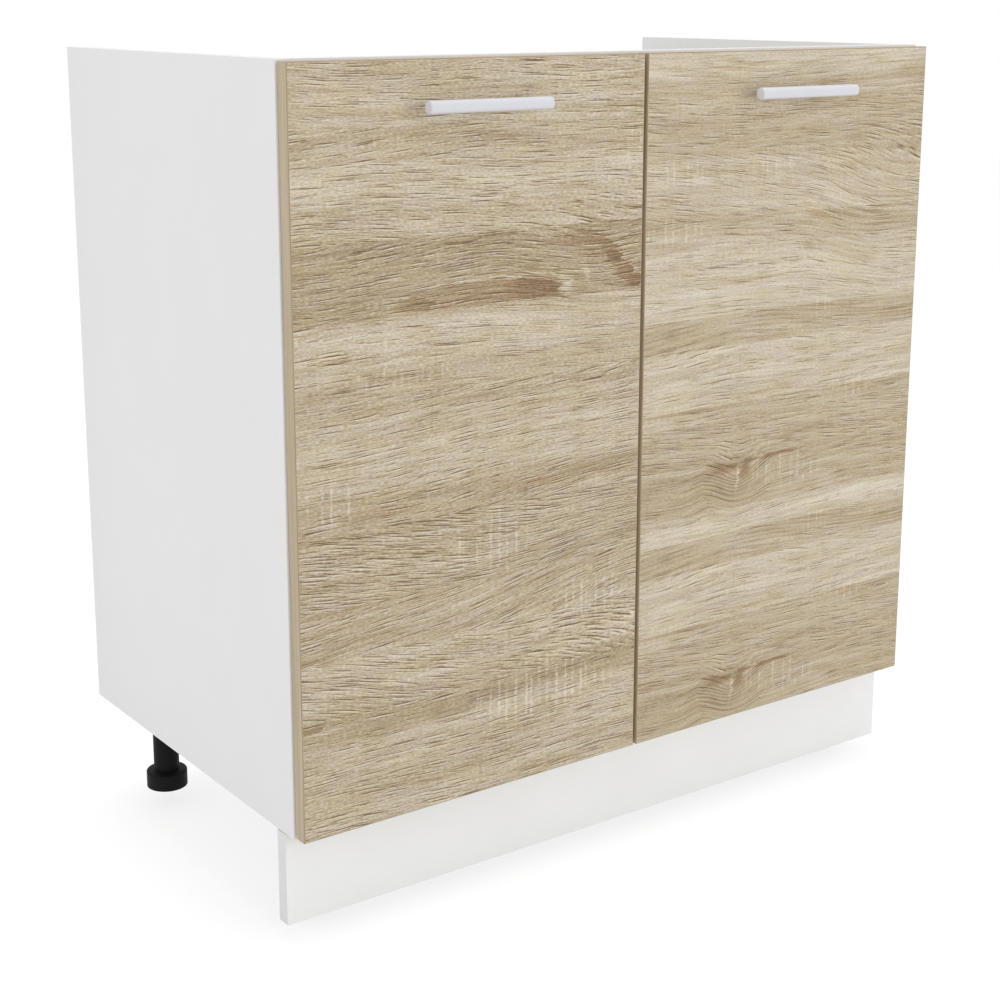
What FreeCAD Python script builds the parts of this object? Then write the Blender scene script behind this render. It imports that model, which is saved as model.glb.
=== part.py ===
import FreeCAD, Part
import math
import os
import types

import Sketcher

# A two-door base cabinet for a sink: white boards, two overlay doors in light oak decor,
# bar handles, a clip-on plinth and four adjustable legs.
# All lengths are in millimetres and all angles in degrees.
# Frame: X to the right, Y to the back, Z up. The origin is on the floor,
# under the middle of the whole object's box.

SIZES = {
    # Carcass
    "cabinet_width": 800,
    "side_height": 720,
    "panel_depth": 447,
    "board": 16,
    "edge_band": 1,
    "front_rail_height": 95,
    "rear_rail_height": 100,
    "rear_rail_drop": 60,
    "wall_hole_radius": 3,
    "wall_hole_spacing": 560,
    # Doors
    "reveal": 2,
    "centre_gap": 4,
    "door_gap": 1,
    "door_thickness": 16,
    "door_band": 1,
    "bumper_radius": 4,
    "bumper_inset": 12,
    # Handles
    "handle_length": 136,
    "handle_radius": 6.15,
    "handle_reach": 27,
    "handle_post_spacing": 96,
    "handle_post_radius": 4,
    "handle_drop": 42,
    "handle_end_round": 1.2,
    "handle_screw_radius": 2,
    "handle_screw_grip": 12,
    "handle_counterbore_radius": 4.5,
    "handle_counterbore_depth": 2.6,
    # Cam fittings and dowels
    "cam_radius": 7.5,
    "cam_depth": 12.5,
    "cam_from_end": 34,
    "cam_bolt_radius": 3.5,
    "cam_bolt_grip": 11,
    "cam_slot_width": 1.2,
    "cam_inset": 120,
    "dowel_radius": 4,
    "dowel_length": 30,
    "dowel_grip": 10,
    "dowel_inset": 160,
    "rail_fitting_inset": 24,
    # Legs
    "leg_height": 95,
    "leg_inset": 47,
    "leg_rear_inset": 70,
    "leg_tube_radius": 14,
    "leg_bore_radius": 9.6,
    "leg_flange_radius": 29,
    "leg_flange_thickness": 4,
    "leg_screw_circle": 22,
    "leg_screw_radius": 2,
    "leg_screw_length": 14,
    "foot_radius": 22.5,
    "foot_height": 18,
    "foot_shoulder": 1,
    "foot_round": 1.5,
    "foot_post_radius": 9.52,
    "foot_post_length": 45,
    # Plinth
    "plinth_thickness": 16,
    "plinth_setback": 16,
    "plinth_gap": 1,
    "plinth_leg_clearance": 3,
    "clip_height": 18,
    "clip_arm": 3,
    "clip_plate_width": 56,
    "clip_plate_thickness": 3,
    "clip_clearance": 0.3,
    "clip_screw_spacing": 44,
    # Concealed hinges
    "hinge_inset": 130,
    "pole_in": 6.4,
    "pole_forward": 12.5,
    "opening": 95,
    "cup_radius": 17.5,
    "cup_depth": 11.5,
    "cup_wall": 0.8,
    "cup_edge_distance": 3,
    "cup_wing_height": 62,
    "cup_wing_start": 15.5,
    "cup_wing_width": 15,
    "cup_screw_spacing": 48,
    "cup_screw_radius": 1.75,
    "cup_screw_length": 11,
    "nose_outer_in": 30,
    "nose_outer_back": 1,
    "nose_inner_in": 33,
    "nose_inner_forward": 4,
    "outer_pin_reach": 9,
    "inner_pin_reach": 5,
    "pin_radius": 0.8,
    "link_eye_radius": 1.5,
    "link_thickness": 1.4,
    "outer_link_rise": 4,
    "inner_link_rise": 7,
    "inner_link_width": 7,
    "outer_link_width": 1.4,
    "link_side_gap": 0.6,
    "arm_cheek": 1.2,
    "arm_nose_radius": 2.2,
    "arm_back": 66,
    "arm_front": 14,
    "arm_rise": 9.6,
    "arm_foot_gap": 0.5,
    "plate_thickness": 2,
    "plate_setback": 37,
    "plate_height": 48,
    "plate_wing": 8,
    "plate_block_front": 20,
    "plate_block_back": 62,
    "plate_block_rise": 7,
    "plate_screw_spacing": 32,
    "plate_screw_radius": 2.5,
    "plate_screw_length": 11,
    "screw_head_height": 2,
    "screw_end_gap": 1,
    "screw_clearance": 0.05,
    "running_clearance": 0.05,
}

# Proportions of small forms
SCREW_HEAD_SHARES = {"leg": 2, "clip": 1.8, "plate": 1.6, "cup": 1.8, "handle": 2}
screw_crown_share = 1 / 3
screw_slot_share = 1 / 4
screw_point_share = 1 / 3
screw_taper_share = 2
cam_bolt_head_share = 3 / 4
cam_well_share = 0.6
clip_level_share = 0.6
clip_screw_share = 0.75
nose_front_share = 0.5
nose_back_share = 3

doc = FreeCAD.newDocument("vanity_base_cabinet")
sheet = doc.addObject("Spreadsheet::Sheet", "Sizes")
for row, (alias, number) in enumerate(SIZES.items(), 1):
    sheet.set(f"A{row}", alias)
    sheet.set(f"B{row}", str(number))
    sheet.setAlias(f"B{row}", alias)
doc.recompute()


class Size:
    """A length or angle: its value, and the text that binds it to the sheet."""

    def __init__(self, value, text):
        self.value = value
        self.text = text

    def __add__(self, other):
        other = as_size(other)
        return Size(self.value + other.value, f"({self.text} + {other.text})")

    def __sub__(self, other):
        other = as_size(other)
        return Size(self.value - other.value, f"({self.text} - {other.text})")

    def __mul__(self, share):
        return Size(self.value * share, f"({self.text} * {share})")

    def __truediv__(self, share):
        return Size(self.value / share, f"({self.text} / {share})")

    def __neg__(self):
        return Size(-self.value, f"(0 - {self.text})")


def as_size(length):
    return length if isinstance(length, Size) else Size(length, str(length))


s = types.SimpleNamespace(
    **{alias: Size(float(getattr(sheet, alias)), f"Sizes.{alias}") for alias in SIZES}
)
nil = Size(0, "0")

# Planes and lengths that many pieces share
half_width = s.cabinet_width / 2
front_reach = s.door_gap + s.door_thickness + s.handle_reach
front = (front_reach - s.panel_depth) / 2
rear = front + s.panel_depth
top = s.leg_height + s.side_height
inner_half = half_width - s.board
inner_width = inner_half * 2
board_depth = s.panel_depth - s.edge_band
door_width = half_width - s.reveal - s.centre_gap / 2
door_height = s.side_height - s.reveal * 2
door_bottom = s.leg_height + s.reveal
door_back = front - s.door_gap
door_front = door_back - s.door_thickness
handle_height = door_bottom + door_height - s.handle_drop
lower_hinge = door_bottom + s.hinge_inset
upper_hinge = door_bottom + door_height - s.hinge_inset
rear_rail_bottom = top - s.rear_rail_drop - s.rear_rail_height
front_rail_bottom = top - s.front_rail_height
half_turn_about_y = FreeCAD.Rotation(FreeCAD.Vector(0, 1, 0), 180)
SIDES = {"left": -1, "right": 1}
HINGES = [
    (f"{level}_{side}", side, height)
    for side in SIDES
    for level, height in (("lower", lower_hinge), ("upper", upper_hinge))
]
parts = []


def vector(x, y, z=nil):
    return FreeCAD.Vector(x.value, y.value, z.value)


def put(item, at, turn=None):
    """Places an item at three sizes, bound to the sheet."""
    item.Placement = FreeCAD.Placement(vector(*at), turn or FreeCAD.Rotation())
    for axis, where in zip("xyz", at):
        item.setExpression(f"Placement.Base.{axis}", where.text)


def keep(item, label):
    """Lists an item as a sub-part under its own label."""
    item.Label = label
    parts.append(item)
    return item


def new_body(label, at, turn=None):
    body = doc.addObject("PartDesign::Body", label)
    put(body, at, turn)
    return keep(body, label)


def new_sketch(body, plane, offset=nil):
    """A sketch on one of the body's own planes, moved along the plane's normal."""
    sketch = body.newObject("Sketcher::SketchObject", f"{body.Name}_sketch")
    support = next(item for item in body.Origin.OriginFeatures if item.Role == plane)
    sketch.AttachmentSupport = [(support, "")]
    sketch.MapMode = "FlatFace"
    sketch.setExpression("AttachmentOffset.Base.z", offset.text)
    return sketch


def hold(sketch, kind, where, size):
    """Adds a constraint whose value follows a size."""
    index = sketch.addConstraint(Sketcher.Constraint(kind, *where, size.value))
    sketch.setExpression(f"Constraints[{index}]", size.text)


def add_outline(sketch, points):
    """A closed outline of straight lines through points given as pairs of sizes."""
    first = sketch.GeometryCount
    count = len(points)
    for index, start in enumerate(points):
        end = points[(index + 1) % count]
        sketch.addGeometry(Part.LineSegment(vector(*start), vector(*end)), False)
    for index, (across, up) in enumerate(points):
        before = first + (index - 1) % count
        sketch.addConstraint(Sketcher.Constraint("Coincident", before, 2, first + index, 1))
        hold(sketch, "DistanceX", (first + index, 1), across)
        hold(sketch, "DistanceY", (first + index, 1), up)


def add_rectangle(sketch, low, high):
    add_outline(sketch, [low, (high[0], low[1]), high, (low[0], high[1])])


def add_circle(sketch, centre, radius):
    circle = Part.Circle(vector(*centre), FreeCAD.Vector(0, 0, 1), radius.value)
    index = sketch.addGeometry(circle, False)
    hold(sketch, "DistanceX", (index, 3), centre[0])
    hold(sketch, "DistanceY", (index, 3), centre[1])
    hold(sketch, "Radius", (index,), radius)


def pad(body, sketch, length):
    feature = body.newObject("PartDesign::Pad", f"{body.Name}_pad")
    feature.Profile = sketch
    feature.setExpression("Length", length.text)
    doc.recompute()
    return feature


def pocket(body, sketch, depth, along_normal=False):
    """Cuts a sketch into the body, and stops if nothing was cut."""
    before = body.Shape.Volume
    feature = body.newObject("PartDesign::Pocket", f"{body.Name}_pocket")
    feature.Profile = sketch
    feature.Reversed = along_normal
    feature.setExpression("Length", depth.text)
    doc.recompute()
    if not body.Shape.Volume < before:
        raise RuntimeError(f"a pocket in {body.Label} cuts nothing")
    return feature


def turn_about_z(body, outline):
    """Revolves an outline of (radius, height) pairs about the body's Z axis."""
    sketch = new_sketch(body, "XZ_Plane")
    add_outline(sketch, outline)
    feature = body.newObject("PartDesign::Revolution", f"{body.Name}_turned")
    feature.Profile = sketch
    feature.ReferenceAxis = (sketch, ["V_Axis"])
    doc.recompute()
    return feature


def round_edges(body, radius, wanted):
    """Rounds the edges of the body that the wanted function picks."""
    base = body.Tip
    names = [f"Edge{i}" for i, edge in enumerate(base.Shape.Edges, 1) if wanted(edge)]
    fillet = body.newObject("PartDesign::Fillet", f"{body.Name}_round")
    fillet.Base = (base, names)
    fillet.setExpression("Radius", radius.text)
    doc.recompute()
    return fillet


def block(body, low, high):
    """Pads a rectangular block between two corners, each three sizes."""
    sketch = new_sketch(body, "XY_Plane", low[2])
    add_rectangle(sketch, low[:2], high[:2])
    return pad(body, sketch, high[2] - low[2])


def board(label, size, at):
    """A board with its lowest corner at a place."""
    body = new_body(label, at)
    block(body, (nil, nil, nil), size)
    return body


def drill(body, plane, offset, centres, radius, depth, along_normal=False):
    """Round holes of one size from one face. Centres are in the plane's own directions."""
    sketch = new_sketch(body, plane, offset)
    for centre in centres:
        add_circle(sketch, centre, radius)
    pocket(body, sketch, depth, along_normal)


def group(label, shape, places):
    """Several copies of one fastener, each a solid of its own, as one sub-part."""
    feature = doc.addObject("Part::Feature", label)
    copies = []
    for place in places:
        copy = shape.copy()
        copy.Placement = place
        copies.append(copy)
    feature.Shape = Part.makeCompound(copies)
    return keep(feature, label)


def turned(points):
    """A solid turned about Z from (radius, height) pairs of numbers."""
    corners = [FreeCAD.Vector(radius, 0, height) for radius, height in points]
    wire = Part.makePolygon(corners + corners[:1])
    return Part.Face(wire).revolve(FreeCAD.Vector(), FreeCAD.Vector(0, 0, 1), 360)


def make_screw(radius, length, head_radius, head_height):
    """A round-head screw along Z, with its shank below zero and a cross-shaped drive."""
    crown = head_height * screw_crown_share
    slot_width = head_radius * screw_slot_share
    body = turned([
        (0, -length),
        (radius * screw_point_share, -length),
        (radius, radius * screw_taper_share - length),
        (radius, 0),
        (head_radius, 0),
        (head_radius, head_height - crown),
        (head_radius - crown, head_height),
        (0, head_height),
    ])
    slot = Part.makeBox(head_radius, slot_width, crown * 2)
    slot.translate(FreeCAD.Vector(-head_radius / 2, -slot_width / 2, head_height - crown))
    across = slot.copy()
    across.rotate(FreeCAD.Vector(), FreeCAD.Vector(0, 0, 1), 90)
    return body.cut([slot, across])


def facing(direction, at):
    """A placement that turns the Z axis to a direction."""
    turn = FreeCAD.Rotation(FreeCAD.Vector(0, 0, 1), FreeCAD.Vector(*direction))
    return FreeCAD.Placement(FreeCAD.Vector(*at), turn)


# Where the fittings of each board end lie, along Y for the bottom panel and along Z
# for the rails, which stand on edge
cam_hole_radius = s.cam_radius + s.screw_clearance
bolt_hole_radius = s.cam_bolt_radius + s.screw_clearance
dowel_hole_radius = s.dowel_radius + s.screw_clearance
dowel_reach = s.dowel_length - s.dowel_grip
bottom_cams = (front + s.cam_inset, rear - s.cam_inset)
bottom_dowels = (front + s.dowel_inset, rear - s.dowel_inset)
front_rail_cam = front_rail_bottom + s.rail_fitting_inset
front_rail_dowel = top - s.rail_fitting_inset
rear_rail_cam = rear_rail_bottom + s.rail_fitting_inset
rear_rail_dowel = rear_rail_bottom + s.rear_rail_height - s.rail_fitting_inset
front_rail_middle = front + s.board / 2
rear_rail_middle = rear - s.board / 2
bottom_middle = s.leg_height + s.board / 2
# Each fitting as its place along Y and Z
CAM_PLACES = [
    (bottom_cams[0], bottom_middle),
    (bottom_cams[1], bottom_middle),
    (front_rail_middle, front_rail_cam),
    (rear_rail_middle, rear_rail_cam),
]
DOWEL_PLACES = [
    (bottom_dowels[0], bottom_middle),
    (bottom_dowels[1], bottom_middle),
    (front_rail_middle, front_rail_dowel),
    (rear_rail_middle, rear_rail_dowel),
]
PLATE_SCREW_PLACES = [
    (front + s.plate_setback, height + s.plate_screw_spacing / 2 * sign)
    for height in (lower_hinge, upper_hinge)
    for sign in (-1, 1)
]


def make_side_panel(side):
    """A side board, drilled on its inner face for cam bolts, dowels and hinge plates."""
    at_x = -half_width if side == "left" else inner_half
    origin_y = front + s.edge_band
    body = board(
        f"side_panel_{side}",
        (s.board, board_depth, s.side_height),
        (at_x, origin_y, s.leg_height),
    )
    face = s.board if side == "left" else nil
    inward = side == "right"
    holes = (
        (CAM_PLACES, bolt_hole_radius, s.cam_bolt_grip),
        (DOWEL_PLACES, dowel_hole_radius, s.dowel_grip),
        (PLATE_SCREW_PLACES, s.plate_screw_radius + s.screw_clearance, s.plate_screw_length),
    )
    for places, radius, depth in holes:
        centres = [(y - origin_y, z - s.leg_height) for y, z in places]
        drill(body, "YZ_Plane", face, centres, radius, depth, inward)


def drill_ends(body, length, bolts, dowels):
    """Holes in both ends of a cross board for the cam bolts and the dowels."""
    for face, inward in ((nil, True), (length, False)):
        drill(body, "YZ_Plane", face, bolts, bolt_hole_radius, s.cam_from_end, inward)
        drill(body, "YZ_Plane", face, dowels, dowel_hole_radius, dowel_reach, inward)


def make_bottom_panel():
    origin_y = front + s.edge_band
    body = board(
        "bottom_panel",
        (inner_width, board_depth, s.board),
        (-inner_half, origin_y, s.leg_height),
    )
    cams = [
        (x, y - origin_y)
        for x in (s.cam_from_end, inner_width - s.cam_from_end)
        for y in bottom_cams
    ]
    drill(body, "XY_Plane", nil, cams, cam_hole_radius, s.cam_depth, True)
    middle = s.board / 2
    drill_ends(
        body,
        inner_width,
        [(y - origin_y, middle) for y in bottom_cams],
        [(y - origin_y, middle) for y in bottom_dowels],
    )
    screws = [(x + inner_half, y - origin_y) for x, y in LEG_SCREW_PLACES]
    drill(
        body,
        "XY_Plane",
        nil,
        screws,
        s.leg_screw_radius + s.screw_clearance,
        leg_screw_grip,
        True,
    )


def make_rail(name, height, at_y, at_z, cam_z, dowel_z, cam_face):
    """A cross rail on edge. Its cams sit in the face that looks into the cabinet."""
    body = board(name, (inner_width, s.board, height), (-inner_half, at_y, at_z))
    cams = [(x, cam_z - at_z) for x in (s.cam_from_end, inner_width - s.cam_from_end)]
    into_back = cam_face == "back"
    drill(
        body,
        "XZ_Plane",
        -s.board if into_back else nil,
        cams,
        cam_hole_radius,
        s.cam_depth,
        into_back,
    )
    middle = s.board / 2
    drill_ends(body, inner_width, [(middle, cam_z - at_z)], [(middle, dowel_z - at_z)])
    return body


def make_rails():
    make_rail(
        "front_rail",
        s.front_rail_height,
        front,
        front_rail_bottom,
        front_rail_cam,
        front_rail_dowel,
        "back",
    )
    rear_rail = make_rail(
        "rear_rail",
        s.rear_rail_height,
        rear - s.board,
        rear_rail_bottom,
        rear_rail_cam,
        rear_rail_dowel,
        "front",
    )
    middle = inner_width / 2
    reach = s.wall_hole_spacing / 2
    wall_holes = [(middle + reach * sign, s.rear_rail_height / 2) for sign in (-1, 1)]
    drill(rear_rail, "XZ_Plane", nil, wall_holes, s.wall_hole_radius, s.board)


def make_edge_bands():
    """The thin white bands on the front edges of the sides and the bottom panel."""
    for side, at_x in (("left", -half_width), ("right", inner_half)):
        board(
            f"side_edge_band_{side}",
            (s.board, s.edge_band, s.side_height),
            (at_x, front, s.leg_height),
        )
    board(
        "bottom_edge_band",
        (inner_width, s.edge_band, s.board),
        (-inner_half, front, s.leg_height),
    )


def make_cam_fittings():
    """Cam housings, the bolts they pull on, and the dowels beside them."""
    bolt_radius = s.cam_bolt_radius.value
    neck_radius = bolt_radius / 2
    head_radius = bolt_radius * cam_bolt_head_share
    grip = s.cam_bolt_grip.value
    reach = (s.cam_from_end - s.cam_radius / 2).value
    collar = bolt_radius
    bolt = turned([
        (0, -grip),
        (bolt_radius, -grip),
        (bolt_radius, collar),
        (neck_radius, collar),
        (neck_radius, reach - collar),
        (head_radius, reach - collar),
        (head_radius, reach),
        (0, reach),
    ])
    dowel_radius = s.dowel_radius.value
    dowel = turned([
        (0, -s.dowel_grip.value),
        (dowel_radius, -s.dowel_grip.value),
        (dowel_radius, dowel_reach.value),
        (0, dowel_reach.value),
    ])
    # The housing is open on the side that the bolt enters from, along its X axis.
    housing = Part.makeCylinder(s.cam_radius.value, s.cam_depth.value)
    mouth_reach = bolt_radius + s.running_clearance.value
    mouth = Part.makeBox(s.cam_radius.value * 2, mouth_reach * 2, mouth_reach * 2)
    depth_of_bolt = (s.board / 2).value
    mouth.translate(FreeCAD.Vector(0, -mouth_reach, depth_of_bolt - mouth_reach))
    well = Part.makeCylinder(s.cam_radius.value * cam_well_share, s.cam_depth.value / 2)
    well.translate(FreeCAD.Vector(0, 0, depth_of_bolt - bolt_radius))
    slot_width = s.cam_slot_width.value
    drive = Part.makeBox(s.cam_radius.value, slot_width, slot_width)
    drive.translate(FreeCAD.Vector(-s.cam_radius.value / 2, -slot_width / 2, 0))
    housing = housing.cut([mouth, well, drive])
    bolts = []
    dowels = []
    housings = []
    for sign in SIDES.values():
        face = sign * inner_half.value
        inward = (-sign, 0, 0)
        cam_x = sign * (inner_half - s.cam_from_end).value
        for y, z in CAM_PLACES:
            bolts.append(facing(inward, (face, y.value, z.value)))
        for y, z in DOWEL_PLACES:
            dowels.append(facing(inward, (face, y.value, z.value)))
        outward = FreeCAD.Vector(sign, 0, 0)
        for y in bottom_cams:
            housings.append(axes_placement(outward, (0, 0, 1), (cam_x, y.value, s.leg_height.value)))
        housings.append(
            axes_placement(outward, (0, -1, 0), (cam_x, (front + s.board).value, front_rail_cam.value))
        )
        housings.append(
            axes_placement(outward, (0, 1, 0), (cam_x, (rear - s.board).value, rear_rail_cam.value))
        )
    group("cam_bolts", bolt, bolts)
    group("wooden_dowels", dowel, dowels)
    group("cam_housings", housing, housings)


def axes_placement(x_axis, z_axis, at):
    """A placement that turns X and Z to two given directions."""
    z_axis = FreeCAD.Vector(*z_axis)
    turn = FreeCAD.Rotation(x_axis, z_axis.cross(x_axis), z_axis, "ZXY")
    return FreeCAD.Placement(FreeCAD.Vector(*at), turn)


# Legs. The front ones stand as far back as their flanges clear the plinth.
leg_front_inset = (
    s.plinth_setback + s.plinth_thickness + s.plinth_leg_clearance + s.leg_flange_radius
)
LEGS = [
    (f"{end}_{side}", (half_width - s.leg_inset) * SIDES[side], y)
    for side in SIDES
    for end, y in (("front", front + leg_front_inset), ("rear", rear - s.leg_rear_inset))
]
foot_top = s.foot_height + s.foot_shoulder
diagonal_share = math.sqrt(0.5)
leg_screw_offset = s.leg_screw_circle * diagonal_share
leg_screw_grip = s.leg_screw_length - s.leg_flange_thickness + s.screw_clearance
LEG_SCREW_PLACES = [
    (x + leg_screw_offset * across, y + leg_screw_offset * back)
    for _, x, y in LEGS
    for across in (-1, 1)
    for back in (-1, 1)
]


def make_leg(name, x, y):
    """A flanged sleeve under the bottom panel, and the foot that screws into it."""
    sleeve = new_body(f"leg_sleeve_{name}", (x, y, nil))
    flange_bottom = s.leg_height - s.leg_flange_thickness
    turn_about_z(sleeve, [
        (s.leg_bore_radius, foot_top),
        (s.leg_tube_radius, foot_top),
        (s.leg_tube_radius, flange_bottom),
        (s.leg_flange_radius, flange_bottom),
        (s.leg_flange_radius, s.leg_height),
        (s.leg_bore_radius, s.leg_height),
    ])
    corners = [
        (leg_screw_offset * across, leg_screw_offset * back)
        for across in (-1, 1)
        for back in (-1, 1)
    ]
    drill(
        sleeve,
        "XY_Plane",
        flange_bottom,
        corners,
        s.leg_screw_radius + s.screw_clearance,
        s.leg_flange_thickness,
        True,
    )
    foot = new_body(f"leg_foot_{name}", (x, y, nil))
    turn_about_z(foot, [
        (nil, nil),
        (s.foot_radius, nil),
        (s.foot_radius, s.foot_height),
        (s.leg_tube_radius, foot_top),
        (s.foot_post_radius, foot_top),
        (s.foot_post_radius, foot_top + s.foot_post_length),
        (nil, foot_top + s.foot_post_length),
    ])
    rim = s.foot_height.value

    def at_rim(edge):
        box = edge.BoundBox
        return math.isclose(box.ZMin, rim) and math.isclose(box.ZMax, rim)

    round_edges(foot, s.foot_round, at_rim)


def make_leg_screws():
    screw = make_screw(
        s.leg_screw_radius.value,
        s.leg_screw_length.value,
        (s.leg_screw_radius * SCREW_HEAD_SHARES["leg"]).value,
        s.screw_head_height.value,
    )
    seat = (s.leg_height - s.leg_flange_thickness).value
    group(
        "leg_screws",
        screw,
        [facing((0, 0, -1), (x.value, y.value, seat)) for x, y in LEG_SCREW_PLACES],
    )


# Plinth
plinth_height = s.leg_height - s.plinth_gap
plinth_front = front + s.plinth_setback
plinth_back = plinth_front + s.plinth_thickness
clip_level = s.leg_height * clip_level_share
clip_screw_reach = s.plinth_thickness * clip_screw_share


def make_plinth():
    plinth = board(
        "plinth_board",
        (s.cabinet_width, s.plinth_thickness, plinth_height),
        (-half_width, plinth_front, nil),
    )
    screw_places = [
        (x + half_width + s.clip_screw_spacing / 2 * sign, clip_level + s.clip_height / 2)
        for x in (s.leg_inset - half_width, half_width - s.leg_inset)
        for sign in (-1, 1)
    ]
    drill(
        plinth,
        "XZ_Plane",
        -s.plinth_thickness,
        screw_places,
        s.leg_screw_radius + s.screw_clearance,
        clip_screw_reach,
        True,
    )


def make_clip(x):
    """A plinth clip: a screw plate with two arms that slide along the leg's tube."""
    inner = s.leg_tube_radius + s.clip_clearance
    outer = inner + s.clip_arm
    reach = leg_front_inset - s.plinth_setback - s.plinth_thickness
    plate = Part.makeBox(
        s.clip_plate_width.value, s.clip_plate_thickness.value, s.clip_height.value
    )
    plate.translate(FreeCAD.Vector(-s.clip_plate_width.value / 2, 0, 0))
    arms = Part.makeBox(outer.value * 2, (reach + s.leg_tube_radius / 2).value, s.clip_height.value)
    arms.translate(FreeCAD.Vector(-outer.value, 0, 0))
    slot = Part.makeBox(inner.value * 2, (reach + s.leg_tube_radius).value, s.clip_height.value)
    slot.translate(FreeCAD.Vector(-inner.value, reach.value, 0))
    seat = Part.makeCylinder(inner.value, s.clip_height.value)
    seat.translate(FreeCAD.Vector(0, reach.value, 0))
    hollow = Part.makeBox(
        inner.value * 2,
        (reach - inner - s.clip_plate_thickness * 2).value,
        s.clip_height.value,
    )
    hollow.translate(FreeCAD.Vector(-inner.value, s.clip_plate_thickness.value, 0))
    holes = []
    for sign in (-1, 1):
        hole = Part.makeCylinder(
            (s.leg_screw_radius + s.screw_clearance).value,
            s.clip_plate_thickness.value,
            FreeCAD.Vector(sign * s.clip_screw_spacing.value / 2, 0, s.clip_height.value / 2),
            FreeCAD.Vector(0, 1, 0),
        )
        holes.append(hole)
    clip = plate.fuse(arms).removeSplitter().cut([slot, seat, hollow] + holes)
    clip.translate(FreeCAD.Vector(x, plinth_back.value, clip_level.value))
    return clip


def make_plinth_clips():
    clip_x = (half_width - s.leg_inset).value
    clips = doc.addObject("Part::Feature", "plinth_clips")
    clips.Shape = Part.makeCompound([make_clip(-clip_x), make_clip(clip_x)])
    keep(clips, "plinth_clips")
    screw = make_screw(
        s.leg_screw_radius.value,
        (clip_screw_reach + s.clip_plate_thickness - s.screw_end_gap).value,
        (s.leg_screw_radius * SCREW_HEAD_SHARES["clip"]).value,
        s.screw_head_height.value,
    )
    level = (clip_level + s.clip_height / 2).value
    seat = (plinth_back + s.clip_plate_thickness).value
    places = [
        facing((0, 1, 0), (x + sign * s.clip_screw_spacing.value / 2, seat, level))
        for x in (-clip_x, clip_x)
        for sign in (-1, 1)
    ]
    group("plinth_clip_screws", screw, places)


# Doors
cup_centre = s.reveal + s.cup_edge_distance + s.cup_radius
cup_bore_radius = s.cup_radius + s.screw_clearance
cup_screw_in = s.cup_wing_start + s.reveal + s.cup_wing_width / 2
slab_width = door_width - s.door_band * 2
slab_height = door_height - s.door_band * 2
handle_middle = s.reveal + door_width / 2


def make_door(side):
    """A door slab drilled for its hinge cups and handle, with banded edges."""
    sign = SIDES[side]
    low_x = (
        -half_width + s.reveal if side == "left" else half_width - s.reveal - door_width
    )
    slab_x = low_x + s.door_band
    slab_z = door_bottom + s.door_band
    slab = board(
        f"door_panel_{side}",
        (slab_width, s.door_thickness, slab_height),
        (slab_x, door_front, slab_z),
    )

    def across(inward):
        """Where a distance from the cabinet's outer face lies on the slab."""
        return (half_width - inward) * sign - slab_x

    hinge_levels = [lower_hinge - slab_z, upper_hinge - slab_z]
    back = -s.door_thickness
    cups = [(across(cup_centre), level) for level in hinge_levels]
    drill(slab, "XZ_Plane", back, cups, cup_bore_radius, s.cup_depth + s.screw_clearance, True)
    screws = [
        (across(cup_screw_in), level + s.cup_screw_spacing / 2 * up)
        for level in hinge_levels
        for up in (-1, 1)
    ]
    screw_hole = s.cup_screw_radius + s.screw_clearance
    drill(slab, "XZ_Plane", back, screws, screw_hole, s.cup_screw_length, True)
    handle_holes = [
        (across(handle_middle + s.handle_post_spacing / 2 * end), handle_height - slab_z)
        for end in (-1, 1)
    ]
    handle_hole = s.handle_screw_radius + s.screw_clearance
    drill(slab, "XZ_Plane", nil, handle_holes, handle_hole, s.door_thickness)
    drill(slab, "XZ_Plane", back, handle_holes, s.handle_counterbore_radius,
          s.handle_counterbore_depth, True)
    make_door_bands(side, low_x)


def make_door_bands(side, low_x):
    """Four strips round a door's edges, with their outer corners rounded."""
    strips = []
    upright = (s.door_band, s.door_thickness, door_height)
    level = (slab_width, s.door_thickness, s.door_band)
    places = (
        (upright, (low_x, door_front, door_bottom)),
        (upright, (low_x + door_width - s.door_band, door_front, door_bottom)),
        (level, (low_x + s.door_band, door_front, door_bottom)),
        (level, (low_x + s.door_band, door_front, door_bottom + door_height - s.door_band)),
    )
    for size, at in places:
        strip = doc.addObject("Part::Box", f"door_strip_{side}")
        for name, length in zip(("Length", "Width", "Height"), size):
            strip.setExpression(name, length.text)
        put(strip, at)
        strips.append(strip)
    bands = doc.addObject("Part::Compound", f"door_edge_bands_{side}")
    bands.Links = strips
    keep(bands, f"door_edge_bands_{side}")


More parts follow.
